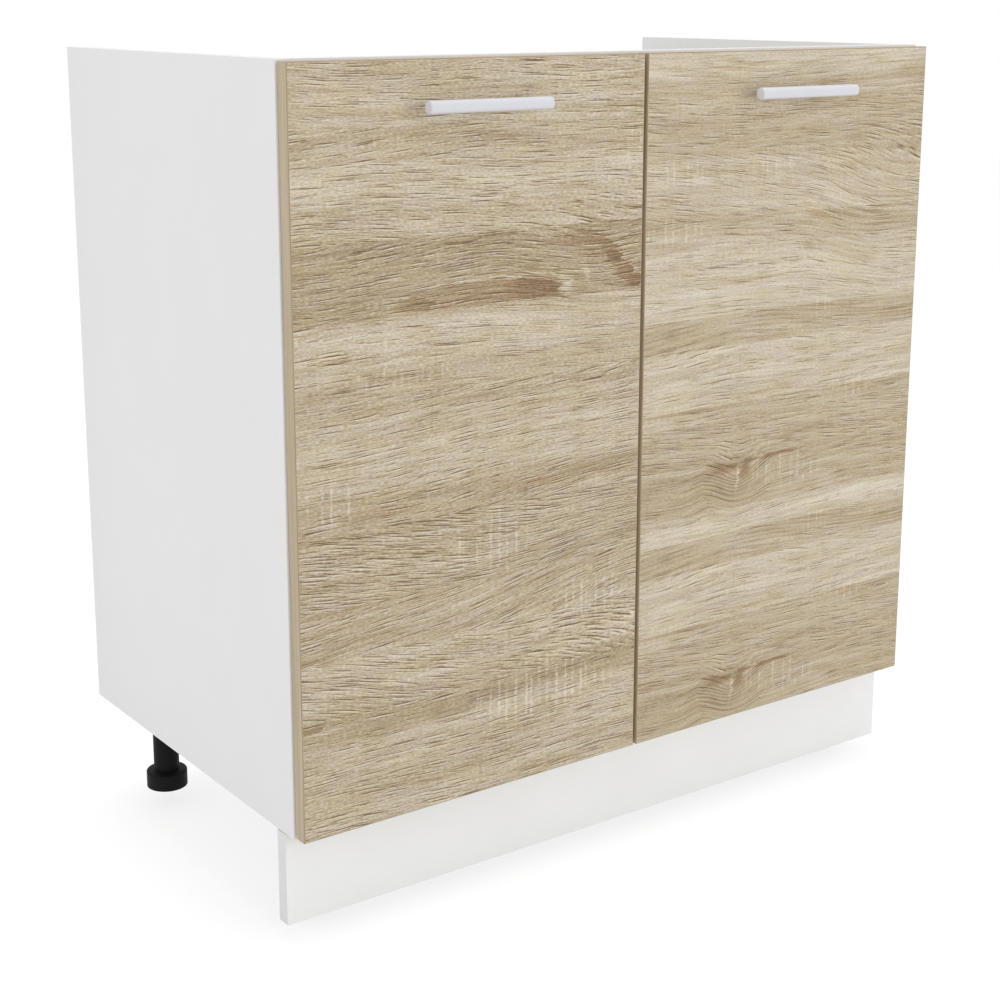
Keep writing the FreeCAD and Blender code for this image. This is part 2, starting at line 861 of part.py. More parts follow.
def make_handle(side):
    """A round bar on two posts, with rounded ends and a screw hole in each post."""
    middle = (half_width - handle_middle) * SIDES[side]
    bar_y = door_front - s.handle_reach + s.handle_radius
    body = new_body(f"handle_{side}", (middle, bar_y, handle_height))
    half_length = s.handle_length / 2
    bar = new_sketch(body, "YZ_Plane", -half_length)
    add_circle(bar, (nil, nil), s.handle_radius)
    pad(body, bar, s.handle_length)
    end_x = half_length.value

    def at_end(edge):
        box = edge.BoundBox
        return math.isclose(box.XMin, box.XMax) and math.isclose(abs(box.XMax), end_x)

    round_edges(body, s.handle_end_round, at_end)
    posts = new_sketch(body, "XZ_Plane", s.handle_radius - s.handle_reach)
    for sign in (-1, 1):
        add_circle(posts, (s.handle_post_spacing / 2 * sign, nil), s.handle_post_radius)
    pad(body, posts, s.handle_reach - s.handle_radius)
    holes = [(s.handle_post_spacing / 2 * sign, nil) for sign in (-1, 1)]
    thread = s.handle_screw_radius + s.screw_clearance
    drill(body, "XZ_Plane", s.handle_radius - s.handle_reach, holes, thread,
          s.handle_screw_grip + s.screw_clearance, True)
    screw = make_screw(
        s.handle_screw_radius.value,
        (s.door_thickness - s.handle_counterbore_depth + s.handle_screw_grip).value,
        (s.handle_screw_radius * SCREW_HEAD_SHARES["handle"]).value,
        s.screw_head_height.value,
    )
    reach = s.handle_post_spacing.value / 2
    seat = (door_back - s.handle_counterbore_depth).value
    group(
        f"handle_screws_{side}",
        screw,
        [
            facing((0, 1, 0), (middle.value + reach * sign, seat, handle_height.value))
            for sign in (-1, 1)
        ],
    )


def make_bumpers(side):
    """Two soft buttons on the back of a door, which meet the rail and the bottom panel."""
    thickness = (s.door_gap - s.screw_clearance).value
    radius = s.bumper_radius.value
    button = turned([
        (0, 0),
        (radius, 0),
        (radius - thickness / 2, thickness),
        (0, thickness),
    ])
    x = SIDES[side] * (s.centre_gap / 2 + s.bumper_inset).value
    levels = (bottom_middle.value, (top - s.board / 2).value)
    group(
        f"door_bumpers_{side}",
        button,
        [facing((0, 1, 0), (x, door_back.value, level)) for level in levels],
    )


# Hinges. Each piece is drawn for the left side: X inward from the cabinet's outer face,
# Y back from the sides' front edges, Z up from the hinge's middle. On the right side it is
# the same piece, turned over.
cheek_inner = s.inner_link_width / 2 + s.link_side_gap + s.outer_link_width + s.link_side_gap
cheek_outer = cheek_inner + s.arm_cheek
plate_face = s.board + s.plate_thickness
arm_top = s.board + s.arm_rise
arm_screw_back = s.arm_back - s.plate_wing * 2


def hinge_place(side, height):
    """Where a hinge's own frame lies, as three sizes and a turn."""
    at = (half_width * SIDES[side], front, height)
    return at, (None if side == "left" else half_turn_about_y)


def hinge_placement(side, height):
    at, turn = hinge_place(side, height)
    return FreeCAD.Placement(vector(*at), turn or FreeCAD.Rotation())


def make_hinge_plate(name, side, height):
    """The plate screwed to the side, with the block that carries the arm."""
    at, turn = hinge_place(side, height)
    body = new_body(f"hinge_plate_{name}", at, turn)
    half_plate = s.plate_height / 2
    block(
        body,
        (s.board, s.plate_setback - s.plate_wing, -half_plate),
        (plate_face, s.plate_setback + s.plate_wing, half_plate),
    )
    half_block = cheek_inner - s.link_side_gap
    block(
        body,
        (s.board, s.plate_block_front, -half_block),
        (s.board + s.plate_block_rise, s.plate_block_back, half_block),
    )
    holes = [(s.plate_setback, s.plate_screw_spacing / 2 * sign) for sign in (-1, 1)]
    radius = s.plate_screw_radius + s.screw_clearance
    drill(body, "YZ_Plane", plate_face, holes, radius, s.plate_thickness)
    arm_hole = [(arm_screw_back, nil)]
    drill(body, "YZ_Plane", s.board + s.plate_block_rise, arm_hole,
          s.leg_screw_radius + s.screw_clearance, s.plate_block_rise)


def make_hinge_arm(name, side, height):
    """A folded steel arm: a web over the plate's block and two cheeks with the nose."""
    at, turn = hinge_place(side, height)
    body = new_body(f"hinge_arm_{name}", at, turn)
    low = plate_face + s.arm_foot_gap
    nose = s.arm_nose_radius
    web_front = s.arm_front + nose * nose_back_share
    cheek = [
        (low, s.arm_back),
        (low, s.arm_front),
        (s.nose_outer_in - nose, s.nose_outer_back - nose * nose_front_share),
        (s.nose_inner_in - nose, -s.nose_inner_forward - nose * nose_front_share),
        (s.nose_inner_in, -s.nose_inner_forward - nose),
        (s.nose_inner_in + nose, -s.nose_inner_forward),
        (s.nose_inner_in + nose, s.nose_outer_back + nose * nose_back_share),
        (arm_top, web_front),
        (arm_top, s.arm_back),
    ]
    for level in (cheek_inner, -cheek_outer):
        sketch = new_sketch(body, "XY_Plane", level)
        add_outline(sketch, cheek)
        pad(body, sketch, s.arm_cheek)
    block(
        body,
        (arm_top - s.arm_cheek, web_front, -cheek_inner),
        (arm_top, s.arm_back, cheek_inner),
    )
    hole = [(arm_screw_back, nil)]
    drill(body, "YZ_Plane", arm_top, hole, s.leg_screw_radius + s.screw_clearance, s.arm_cheek)


def make_hinge_cup(name, side, height):
    """A pressed steel cup with two screw wings, set into the door's back."""
    at, turn = hinge_place(side, height)
    body = new_body(f"hinge_cup_{name}", at, turn)
    half_wing = s.cup_wing_height / 2
    wing_low = s.reveal + s.cup_wing_start
    block(
        body,
        (wing_low, -s.door_gap, -half_wing),
        (wing_low + s.cup_wing_width, s.cup_wall - s.door_gap, half_wing),
    )
    shell = new_sketch(body, "XZ_Plane", s.door_gap)
    add_circle(shell, (cup_centre, nil), s.cup_radius)
    pad(body, shell, s.cup_depth)
    hollow_radius = s.cup_radius - s.cup_wall
    hollow_depth = s.cup_depth - s.cup_wall
    drill(body, "XZ_Plane", -s.cup_wall, [(cup_centre, nil)], hollow_radius,
          s.cup_wall + s.door_gap + hollow_depth, True)
    holes = [(cup_screw_in, s.cup_screw_spacing / 2 * sign) for sign in (-1, 1)]
    drill(body, "XZ_Plane", -s.cup_wall, holes, s.cup_screw_radius + s.screw_clearance,
          s.cup_wall + s.door_gap, True)


def pin_places():
    """The four pins in the hinge's own frame, closed: two on the nose and two in the cup.

    The door turns about one fixed line, the pole. Each cup pin lies half the opening
    ahead of its nose pin as seen from the pole, so the link between them has the same
    length when the door is shut and when it is fully open.
    """
    pole = FreeCAD.Vector(s.pole_in.value, -s.pole_forward.value, 0)
    outer = FreeCAD.Vector(s.nose_outer_in.value, s.nose_outer_back.value, 0)
    inner = FreeCAD.Vector(s.nose_inner_in.value, -s.nose_inner_forward.value, 0)
    pins = {"outer_nose": outer, "inner_nose": inner}
    for name, nose, reach in (
        ("outer_cup", outer, s.outer_pin_reach.value),
        ("inner_cup", inner, s.inner_pin_reach.value),
    ):
        bearing = math.atan2(nose.y - pole.y, nose.x - pole.x)
        bearing += math.radians(s.opening.value / 2)
        ray = FreeCAD.Vector(math.cos(bearing), math.sin(bearing), 0)
        pins[name] = pole + ray * reach
    return pins


def link_strip(start, knee, end, low, width):
    """A cranked flat link between two eyes, cut along the pins' direction."""
    half = s.link_thickness.value / 2
    eye = s.link_eye_radius.value
    pieces = []
    for point in (start, end):
        pieces.append(Part.makeCylinder(eye, width, point + FreeCAD.Vector(0, 0, low)))
    pieces.append(Part.makeCylinder(half, width, knee + FreeCAD.Vector(0, 0, low)))
    for first, second in ((start, knee), (knee, end)):
        along = second - first
        across = FreeCAD.Vector(-along.y, along.x, 0).normalize() * half
        corners = [first + across, second + across, second - across, first - across]
        for corner in corners:
            corner.z = low
        face = Part.Face(Part.makePolygon(corners + corners[:1]))
        pieces.append(face.extrude(FreeCAD.Vector(0, 0, width)))
    return pieces[0].fuse(pieces[1:]).removeSplitter()


def knee_of(cup, nose, rise):
    """The bend of a link, which stands straight out of the cup when the door is open."""
    pole = FreeCAD.Vector(s.pole_in.value, -s.pole_forward.value, 0)
    opening = s.opening.value
    turn = FreeCAD.Rotation(FreeCAD.Vector(0, 0, 1), -opening)
    open_cup = pole + turn.multVec(cup - pole)
    open_up = turn.multVec(FreeCAD.Vector(0, 1, 0))
    open_link = nose - open_cup
    shut_link = nose - cup
    back = FreeCAD.Rotation(open_link, shut_link)
    return cup + back.multVec(open_up) * rise


def make_links(name, side, height):
    """The outer link, two thin strips, and the inner link between them, with nose pins."""
    pins = pin_places()
    place = hinge_placement(side, height)
    inner_half_width = s.inner_link_width.value / 2
    outer_low = inner_half_width + s.link_side_gap.value
    outer_width = s.outer_link_width.value
    pin_hole = s.pin_radius.value + s.running_clearance.value

    def with_pin_hole(strip, cup):
        reach = cheek_outer.value
        return strip.cut(
            Part.makeCylinder(pin_hole, reach * 2, cup - FreeCAD.Vector(0, 0, reach))
        )

    cup = pins["outer_cup"]
    nose = pins["outer_nose"]
    knee = knee_of(cup, nose, s.outer_link_rise.value)
    strips = [
        with_pin_hole(link_strip(cup, knee, nose, low, outer_width), cup)
        for low in (outer_low, -outer_low - outer_width)
    ]
    spindle = Part.makeCylinder(
        s.pin_radius.value, outer_low * 2, nose - FreeCAD.Vector(0, 0, outer_low)
    )
    outer = strips[0].fuse([strips[1], spindle])
    cup = pins["inner_cup"]
    nose = pins["inner_nose"]
    knee = knee_of(cup, nose, s.inner_link_rise.value)
    inner = with_pin_hole(
        link_strip(cup, knee, nose, -inner_half_width, inner_half_width * 2), cup
    )
    for label, shape in ((f"outer_link_{name}", outer), (f"inner_link_{name}", inner)):
        link = doc.addObject("Part::Feature", label)
        link.Shape = shape
        link.Placement = place
        keep(link, label)


def make_hinge_fasteners():
    """The screws of plates, arms and cups, and the pins that the cups hold."""
    place_of = {name: hinge_placement(side, height) for name, side, height in HINGES}
    plate_screw = make_screw(
        s.plate_screw_radius.value,
        (s.plate_screw_length + s.plate_thickness - s.screw_end_gap).value,
        (s.plate_screw_radius * SCREW_HEAD_SHARES["plate"]).value,
        s.screw_head_height.value,
    )
    spacing = s.plate_screw_spacing.value / 2
    plate_y = s.plate_setback.value
    group("hinge_plate_screws", plate_screw, [
        place.multiply(facing((1, 0, 0), (plate_face.value, plate_y, spacing * sign)))
        for place in place_of.values()
        for sign in (-1, 1)
    ])
    arm_screw = make_screw(
        s.leg_screw_radius.value,
        (s.arm_rise - s.screw_end_gap).value,
        (s.leg_screw_radius * SCREW_HEAD_SHARES["plate"]).value,
        s.screw_head_height.value,
    )
    group("hinge_arm_screws", arm_screw, [
        place.multiply(facing((1, 0, 0), (arm_top.value, arm_screw_back.value, 0)))
        for place in place_of.values()
    ])
    cup_screw = make_screw(
        s.cup_screw_radius.value,
        s.cup_screw_length.value,
        (s.cup_screw_radius * SCREW_HEAD_SHARES["cup"]).value,
        s.screw_head_height.value / 2,
    )
    cup_y = (s.cup_wall - s.door_gap).value
    spacing = s.cup_screw_spacing.value / 2
    pins = pin_places()
    hollow_radius = s.cup_radius.value - s.cup_wall.value
    pin_radius = s.pin_radius.value
    # The inner link turns between the two stubs that carry the outer link's strips.
    stub_start = (s.inner_link_width / 2 + s.link_side_gap / 2).value
    pin_shapes = []
    for name, in_two in (("outer_cup", True), ("inner_cup", False)):
        offset = abs(cup_centre.value - pins[name].x) + pin_radius
        half_chord = math.sqrt(hollow_radius ** 2 - offset ** 2) - s.screw_clearance.value
        if in_two:
            spans = [(-half_chord, -stub_start), (stub_start, half_chord)]
        else:
            spans = [(-half_chord, half_chord)]
        for low, high in spans:
            foot = pins[name] + FreeCAD.Vector(0, 0, low)
            pin_shapes.append(Part.makeCylinder(pin_radius, high - low, foot))
    for side in SIDES:
        places = [place_of[name] for name, its_side, _ in HINGES if its_side == side]
        group(f"cup_screws_{side}", cup_screw, [
            place.multiply(facing((0, 1, 0), (cup_screw_in.value, cup_y, spacing * sign)))
            for place in places
            for sign in (-1, 1)
        ])
        group(f"cup_pins_{side}", Part.makeCompound(pin_shapes), places)


def build():
    for side in SIDES:
        make_side_panel(side)
    make_bottom_panel()
    make_rails()
    make_edge_bands()
    make_cam_fittings()
    for leg in LEGS:
        make_leg(*leg)
    make_leg_screws()
    make_plinth()
    make_plinth_clips()
    for side in SIDES:
        make_door(side)
        make_handle(side)
        make_bumpers(side)
    for hinge in HINGES:
        make_hinge_plate(*hinge)
        make_hinge_arm(*hinge)
        make_hinge_cup(*hinge)
        make_links(*hinge)
    make_hinge_fasteners()


def check():
    """Stops if any object failed or any sub-part has no sound shape."""
    doc.recompute()
    for item in doc.Objects:
        if "Invalid" in item.State or "Error" in item.State:
            raise RuntimeError(f"{item.Label} failed: {item.State}")
    for part in parts:
        if part.Shape.isNull() or not part.Shape.isValid() or not part.Shape.Solids:
            raise RuntimeError(f"{part.Label} has no sound shape")


def write():
    os.makedirs("parts", exist_ok=True)
    for part in parts:
        part.Shape.exportStep(f"parts/{part.Label}.step")
    print(len(parts), "sub-parts written")


build()
check()
write()
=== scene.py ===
"""Dresses a two-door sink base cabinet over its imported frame.

White melamine carcass and plinth, two overlay doors in a light oak decor with the grain
lying across, white bar handles, concealed hinges and black screw-in legs. Lengths are in
metres unless a name ends in _mm.
"""

import logging
import math
from dataclasses import dataclass
from enum import Enum
from typing import Any, Iterable, Sequence

import bmesh
import bpy
from mathutils import Euler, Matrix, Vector


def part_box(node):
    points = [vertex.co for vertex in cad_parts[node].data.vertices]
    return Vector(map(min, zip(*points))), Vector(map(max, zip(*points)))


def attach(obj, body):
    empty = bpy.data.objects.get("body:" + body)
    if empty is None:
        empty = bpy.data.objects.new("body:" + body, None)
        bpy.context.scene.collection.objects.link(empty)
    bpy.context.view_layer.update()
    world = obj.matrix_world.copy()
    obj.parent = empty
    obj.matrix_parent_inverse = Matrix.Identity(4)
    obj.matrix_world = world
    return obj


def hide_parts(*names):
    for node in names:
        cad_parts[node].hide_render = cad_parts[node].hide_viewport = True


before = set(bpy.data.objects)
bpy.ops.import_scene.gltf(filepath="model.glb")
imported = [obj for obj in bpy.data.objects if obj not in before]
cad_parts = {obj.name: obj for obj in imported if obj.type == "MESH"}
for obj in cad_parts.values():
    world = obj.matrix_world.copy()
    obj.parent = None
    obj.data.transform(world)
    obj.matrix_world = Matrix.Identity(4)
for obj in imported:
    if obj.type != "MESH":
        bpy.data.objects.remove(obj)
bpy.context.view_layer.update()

Pair = tuple[float, float]
Socket = bpy.types.NodeSocket
# What a node's input takes: another node's output, or a bare value
Input = Socket | float | tuple[float, ...]
MM = 0.001
WELD = 1e-6
TOUCH = 10 * WELD
# Faces that lean apart by less than this are one flat face
FLAT_DEG = 0.5
# How squarely a face looks in a direction, at least, where it counts as facing it
SQUARE_ON = 0.9
WHITE = (1.0, 1.0, 1.0, 1.0)
# A mix node has several sockets of one name: these are the ones for colours
COLOUR_A, COLOUR_B, MIXED_COLOUR = 6, 7, 2
log = logging.getLogger("cabinet")


class Side(Enum):
    """The two sides of the cabinet, as seen from the front."""

    LEFT = "left"
    RIGHT = "right"


class Slot(Enum):
    """The record's material slots."""

    WHITE_BOARD = "white_board"
    WHITE_EDGE_BAND = "white_edge_band"
    OAK_EDGE_BAND = "oak_edge_band"
    HANDLE_WHITE = "handle_white"
    BLACK_PLASTIC = "black_plastic"


def linear(code: str) -> tuple[float, float, float, float]:
    """Turns an sRGB hex colour to linear light.

    Args:
        code: Six hex digits, such as "e4e4e4".

    Returns:
        Linear red, green, blue and an alpha of one.
    """
    channels = []
    for start in (0, 2, 4):
        value = int(code[start:start + 2], 16) / 255
        channels.append(value / 12.92 if value <= 0.04045 else ((value + 0.055) / 1.055) ** 2.4)
    return (*channels, 1.0)


class Graph:
    """The node tree of a material or world, built one node at a time."""

    def __init__(self, owner: bpy.types.Material | bpy.types.World) -> None:
        """Starts the owner's tree afresh.

        Args:
            owner: The material or world that the tree belongs to.
        """
        owner.use_nodes = True
        self.owner = owner
        self.tree = owner.node_tree
        self.tree.nodes.clear()

    def add(self, kind: str, *inputs: Input | None, out: int | str = 0,
            named: dict[int | str, Input] | None = None,
            stops: Sequence[tuple[float, Sequence[float]]] = (), stepped: bool = False,
            **settings: Any) -> Any:
        """Adds a node with its settings and links.

        Args:
            kind: The node's type without the ShaderNode prefix, and any operation after
                a colon.
            *inputs: Values or sockets for the first inputs. None leaves one as it is.
            out: Which output to return, by its name or index.
            named: More inputs, by their name or index.
            stops: Positions and linear colours of the node's colour ramp, in order.
            stepped: Whether the ramp keeps each stop's colour up to the next stop.
            **settings: The node's own properties.

        Returns:
            The chosen output socket, or the node if it has none.
        """
        kind, _, operation = kind.partition(":")
        node = self.tree.nodes.new("ShaderNode" + kind)
        if operation:
            node.operation = operation
        for name, value in settings.items():
            setattr(node, name, value)
        if stops:
            ramp = node.color_ramp
            ramp.interpolation = "CONSTANT" if stepped else "LINEAR"
            while len(ramp.elements) < len(stops):
                ramp.elements.new(1.0)
            for element, (place, value) in zip(ramp.elements, stops):
                element.position = place
                element.color = value
        for key, value in [*enumerate(inputs), *(named or {}).items()]:
            if isinstance(value, bpy.types.NodeSocket):
                self.tree.links.new(value, node.inputs[key])
            elif value is not None:
                node.inputs[key].default_value = value
        return node.outputs[out] if node.outputs else node

    def seen_plainly(self) -> Socket:
        """Tells a ray that looks from the camera, a mirror or glass from one that lights.

        Returns:
            One for a ray that looks, else zero.
        """
        ray = self.add("LightPath").node.outputs
        bent = self.add("Math:MAXIMUM", ray["Is Glossy Ray"], ray["Is Transmission Ray"])
        return self.add("Math:MAXIMUM", ray["Is Camera Ray"], bent)


@dataclass(frozen=True)
class Coating:
    """An even surface: body colour with faint mottling, fine relief and some gloss."""

    name: str
    colour: str
    shade: str
    roughness: float
    ior: float
    # Most real grains are finer, and are drawn as coarse as they need to be to show
    grain_mm: float
    relief_mm: float
    mottle_mm: float = 60.0
    metallic: float = 0.0
    coat: float = 0.0
    specular: float = 0.5
    # How far the roughness strays
    unevenness: float = 0.03
    stretch: tuple[float, float, float] = (1.0, 1.0, 1.0)

    def material(self) -> bpy.types.Material:
        """Builds the material.

        Returns:
            A new material.
        """
        graph = Graph(bpy.data.materials.new(self.name))
        scaled = graph.add("VectorMath:MULTIPLY", graph.add("TexCoord", out="Object"),
                           tuple(share / MM for share in self.stretch))
        mottle = graph.add("TexNoise", scaled, named={"Scale": 1 / self.mottle_mm, "Detail": 3.0})
        share = graph.add("MapRange", mottle, 0.35, 0.65)
        colour = graph.add("Mix", share, out=MIXED_COLOUR, data_type="RGBA", named={
            COLOUR_A: linear(self.colour), COLOUR_B: linear(self.shade)})
        grain = graph.add("TexNoise", scaled, named={"Scale": 1 / self.grain_mm, "Detail": 2.0})
        gloss = graph.add("MapRange", grain, 0.3, 0.7, self.roughness - self.unevenness,
                          self.roughness + self.unevenness)
        normal = graph.add("Bump", named={"Distance": self.relief_mm * MM, "Height": grain})
        named = {"Base Color": colour, "Roughness": gloss, "Metallic": self.metallic,
                 "Normal": normal, "Coat Weight": self.coat, "Coat Roughness": 0.1,
                 "Specular IOR Level": self.specular}
        if not self.metallic:
            named["IOR"] = self.ior
        graph.add("OutputMaterial", graph.add("BsdfPrincipled", named=named))
        return graph.owner


# Melamine-faced chipboard, pressed against a fine satin plate: an even cool white whose
# sheen spreads wide, with no grain that shows from a step away.
WHITE_MELAMINE = Coating("pressed_white_melamine", "ebebeb", "eaeaea", 0.42, 1.55, 0.9, 0.01)
# The same white as a plastic tape, ironed on and trimmed: a touch warmer and smoother.
WHITE_TAPE = Coating("ironed_white_melamine_tape", "eeecea", "eae8e6", 0.36, 1.5, 1.2, 0.008)
# The kick board's wrapped foil: smoother than the carcass, and whiter, painted lighter
# to lift it out of the shade under the doors.
PLINTH_WHITE_PAINTED_LIGHTER = Coating("plinth_foil_white_painted_lighter", "f5f5f4", "f3f3f2", 0.36, 1.5, 1.4, 0.006)
# The kick board's end faces keep a greyer white than its front, which is painted lighter.
PLINTH_END_GREYER_WHITE = Coating("plinth_end_greyer_white", "e4e4e3", "e1e1e0", 0.45, 1.5, 1.2, 0.008)
# Extruded ABS tape printed in a plain tan to go with the decor: flat colour with soft
# streaks along the tape.
OAK_TAPE = Coating("extruded_tan_abs_tape", "c4b39a", "b3a184", 0.5, 1.53, 0.8, 0.015,
                   mottle_mm=3.5, stretch=(1.0, 1.0, 0.02))
# The same tape on its rounded edges, in a darker tan: painted shade that draws a thin
# dark line round the door.
TAPE_ROUNDING_PAINTED_DARKER = Coating("tan_tape_rounding_with_painted_shade", "a8977a", "9c8b6c", 0.6, 1.53, 0.8, 0.02)
# Zinc die castings under baked white enamel: cool white, smooth, with a soft clear gloss.
WHITE_ENAMEL = Coating("baked_white_enamel", "d9dadf", "d5d6dc", 0.3, 1.5, 1.5, 0.004,
                       coat=0.8)
# Injection-moulded polypropylene, spark-eroded texture: deep black, because the pits of the
# texture swallow most of the sheen, and grey only where light grazes it.
BLACK_POLYPROPYLENE = Coating("moulded_black_polypropylene", "131313", "101011", 0.6, 1.49,
                              0.6, 0.02, specular=0.15)
# Moulded acetal clips: milky light grey, slightly waxy.
GREY_ACETAL = Coating("moulded_grey_acetal", "c9c9c6", "bfbfbc", 0.35, 1.48, 0.8, 0.01)
# Pressed steel plated with bright nickel: warm grey metal with fine rolling marks.
NICKEL_STEEL = Coating("nickel_plated_pressed_steel", "c4c0b8", "b5b1aa", 0.24, 1.5, 0.5,
                       0.004, mottle_mm=6.0, metallic=1.0, stretch=(1.0, 0.12, 1.0))
# Screws plated with blue zinc: colder and a little duller than nickel.
ZINC_STEEL = Coating("blue_zinc_plated_steel", "bcc0c4", "a9adb2", 0.3, 1.5, 0.4, 0.006,
                     mottle_mm=3.0, metallic=1.0)
# Raw zinc die casting: dull grey metal with a grainy skin.
CAST_ZINC = Coating("raw_die_cast_zinc", "a3a4a4", "8f9192", 0.42, 1.5, 0.5, 0.02,
                    mottle_mm=4.0, metallic=1.0)
# Turned beech: pinkish tan with short flecks along the dowel.
BEECH = Coating("turned_beech", "d3b184", "c19b6c", 0.55, 1.5, 0.5, 0.03, mottle_mm=1.5,
                stretch=(0.15, 1.0, 1.0))
# Cast polyurethane buttons: clear and soft, seen as a pale grey dot.
POLYURETHANE = Coating("cast_clear_polyurethane", "dadcdc", "d2d4d5", 0.25, 1.49, 1.0, 0.004)


@dataclass(frozen=True)
class RawChipboard:
    """A sawn chipboard edge: pale and tan chips, with painted shade in the gaps between them."""

    chip_mm: float = 2.6
    gap_mm: float = 1.25
    relief_mm: float = 0.15
    stretch: tuple[float, float, float] = (1.0, 1.0, 0.6)

    def material(self) -> bpy.types.Material:
        """Builds the material.

        Returns:
            A new material.
        """
        graph = Graph(bpy.data.materials.new("sawn_chipboard_edge"))
        place = graph.add("VectorMath:MULTIPLY", graph.add("TexCoord", out="Object"),
                          tuple(share / MM for share in self.stretch))
        chips = graph.add("TexVoronoi", place, out="Color",
                          named={"Scale": 1 / self.chip_mm, "Randomness": 1.0})
        tint = graph.add("SeparateColor", chips)
        colour = graph.add("ValToRGB", tint, stops=(
            (0.0, linear("a98a63")), (0.35, linear("c2a57c")),
            (0.75, linear("d3ba94")), (1.0, linear("dfccab"))))
        gaps = graph.add("TexNoise", place, named={"Scale": 1 / self.gap_mm, "Detail": 4.0})
        dark = graph.add("MapRange", gaps, 0.58, 0.7)
        # The gaps take a dark brown: painted shade in the hollows between the chips
        colour = graph.add("Mix", dark, named={COLOUR_A: colour, COLOUR_B: linear("7d6144")},
                           out=MIXED_COLOUR, data_type="RGBA")
        height = graph.add("Math:MULTIPLY_ADD", dark, -1.5, tint)
        normal = graph.add("Bump", named={"Distance": self.relief_mm * MM, "Height": height})
        graph.add("OutputMaterial", graph.add("BsdfPrincipled", named={
            "Base Color": colour, "Roughness": 0.85, "IOR": 1.5, "Normal": normal}))
        return graph.owner


@dataclass(frozen=True)
class Board:
    """A strip of the printed decor, from its straight top edge down to the next one."""

    top_mm: float
    # Steps from the level that the bands give, in sRGB steps of 255
    step: float
    # How far its pores drop on their way to the right
    slope: float
    rings: float
    pores: float


@dataclass(frozen=True)
class Patch:
    """An oval place in the decor, as its centre and half sizes on the door's face."""

    across_mm: float
    down_mm: float
    length_mm: float
    height_mm: float
    strength: float = 1.0
    tilt_deg: float = 0.0
    # The outer share of it that fades out
    soft: float = 0.1


class Fade(Enum):
    """How a swirl's lift fades from its middle to its rim."""

    ROUND = "SMOOTHSTEP"
    POINTED = "LINEAR"


@dataclass(frozen=True)
class Swirl:
    """An oval place where the grain is lifted."""

    spot: Patch
    lift_mm: float
    soft: float = 1.0
    fade: Fade = Fade.ROUND
    rings: float = 0.6


class Draw(Enum):
    """How far out in the endless random field each pattern is drawn, in its own cells."""

    WANDER = 1.0
    CLOUDS = 3.0
    STREAKS = 7.0
    RIPPLES = 11.0
    FIBRES = 17.0
    HEARTS_ACROSS = 23.0
    RING_DRIFT = 29.0
    LONG_PORES = 31.0
    RING_PATCHES = 37.0
    PORE_PATCHES = 41.0
    HEARTS_DOWN = 47.0
    SAW_WEAR = 53.0
    SHORT_PORES = 57.0
    TINTS = 61.0
    SAW_DRIFT = 71.0
    SAW_EDGES = 83.0
    HAIRLINES = 101.0
    HAIRLINE_PATCHES = 107.0


@dataclass(frozen=True)
class Pores:
    """Short dark strokes at random places, each with a pale lip, painted as a highlight, along its
    lower side.
    """

    spacing_mm: Pair
    half_length_mm: float
    half_width_mm: float
    # How far below a pore its lip, with the painted highlight, lies
    lip_drop_mm: float
    draw: Draw


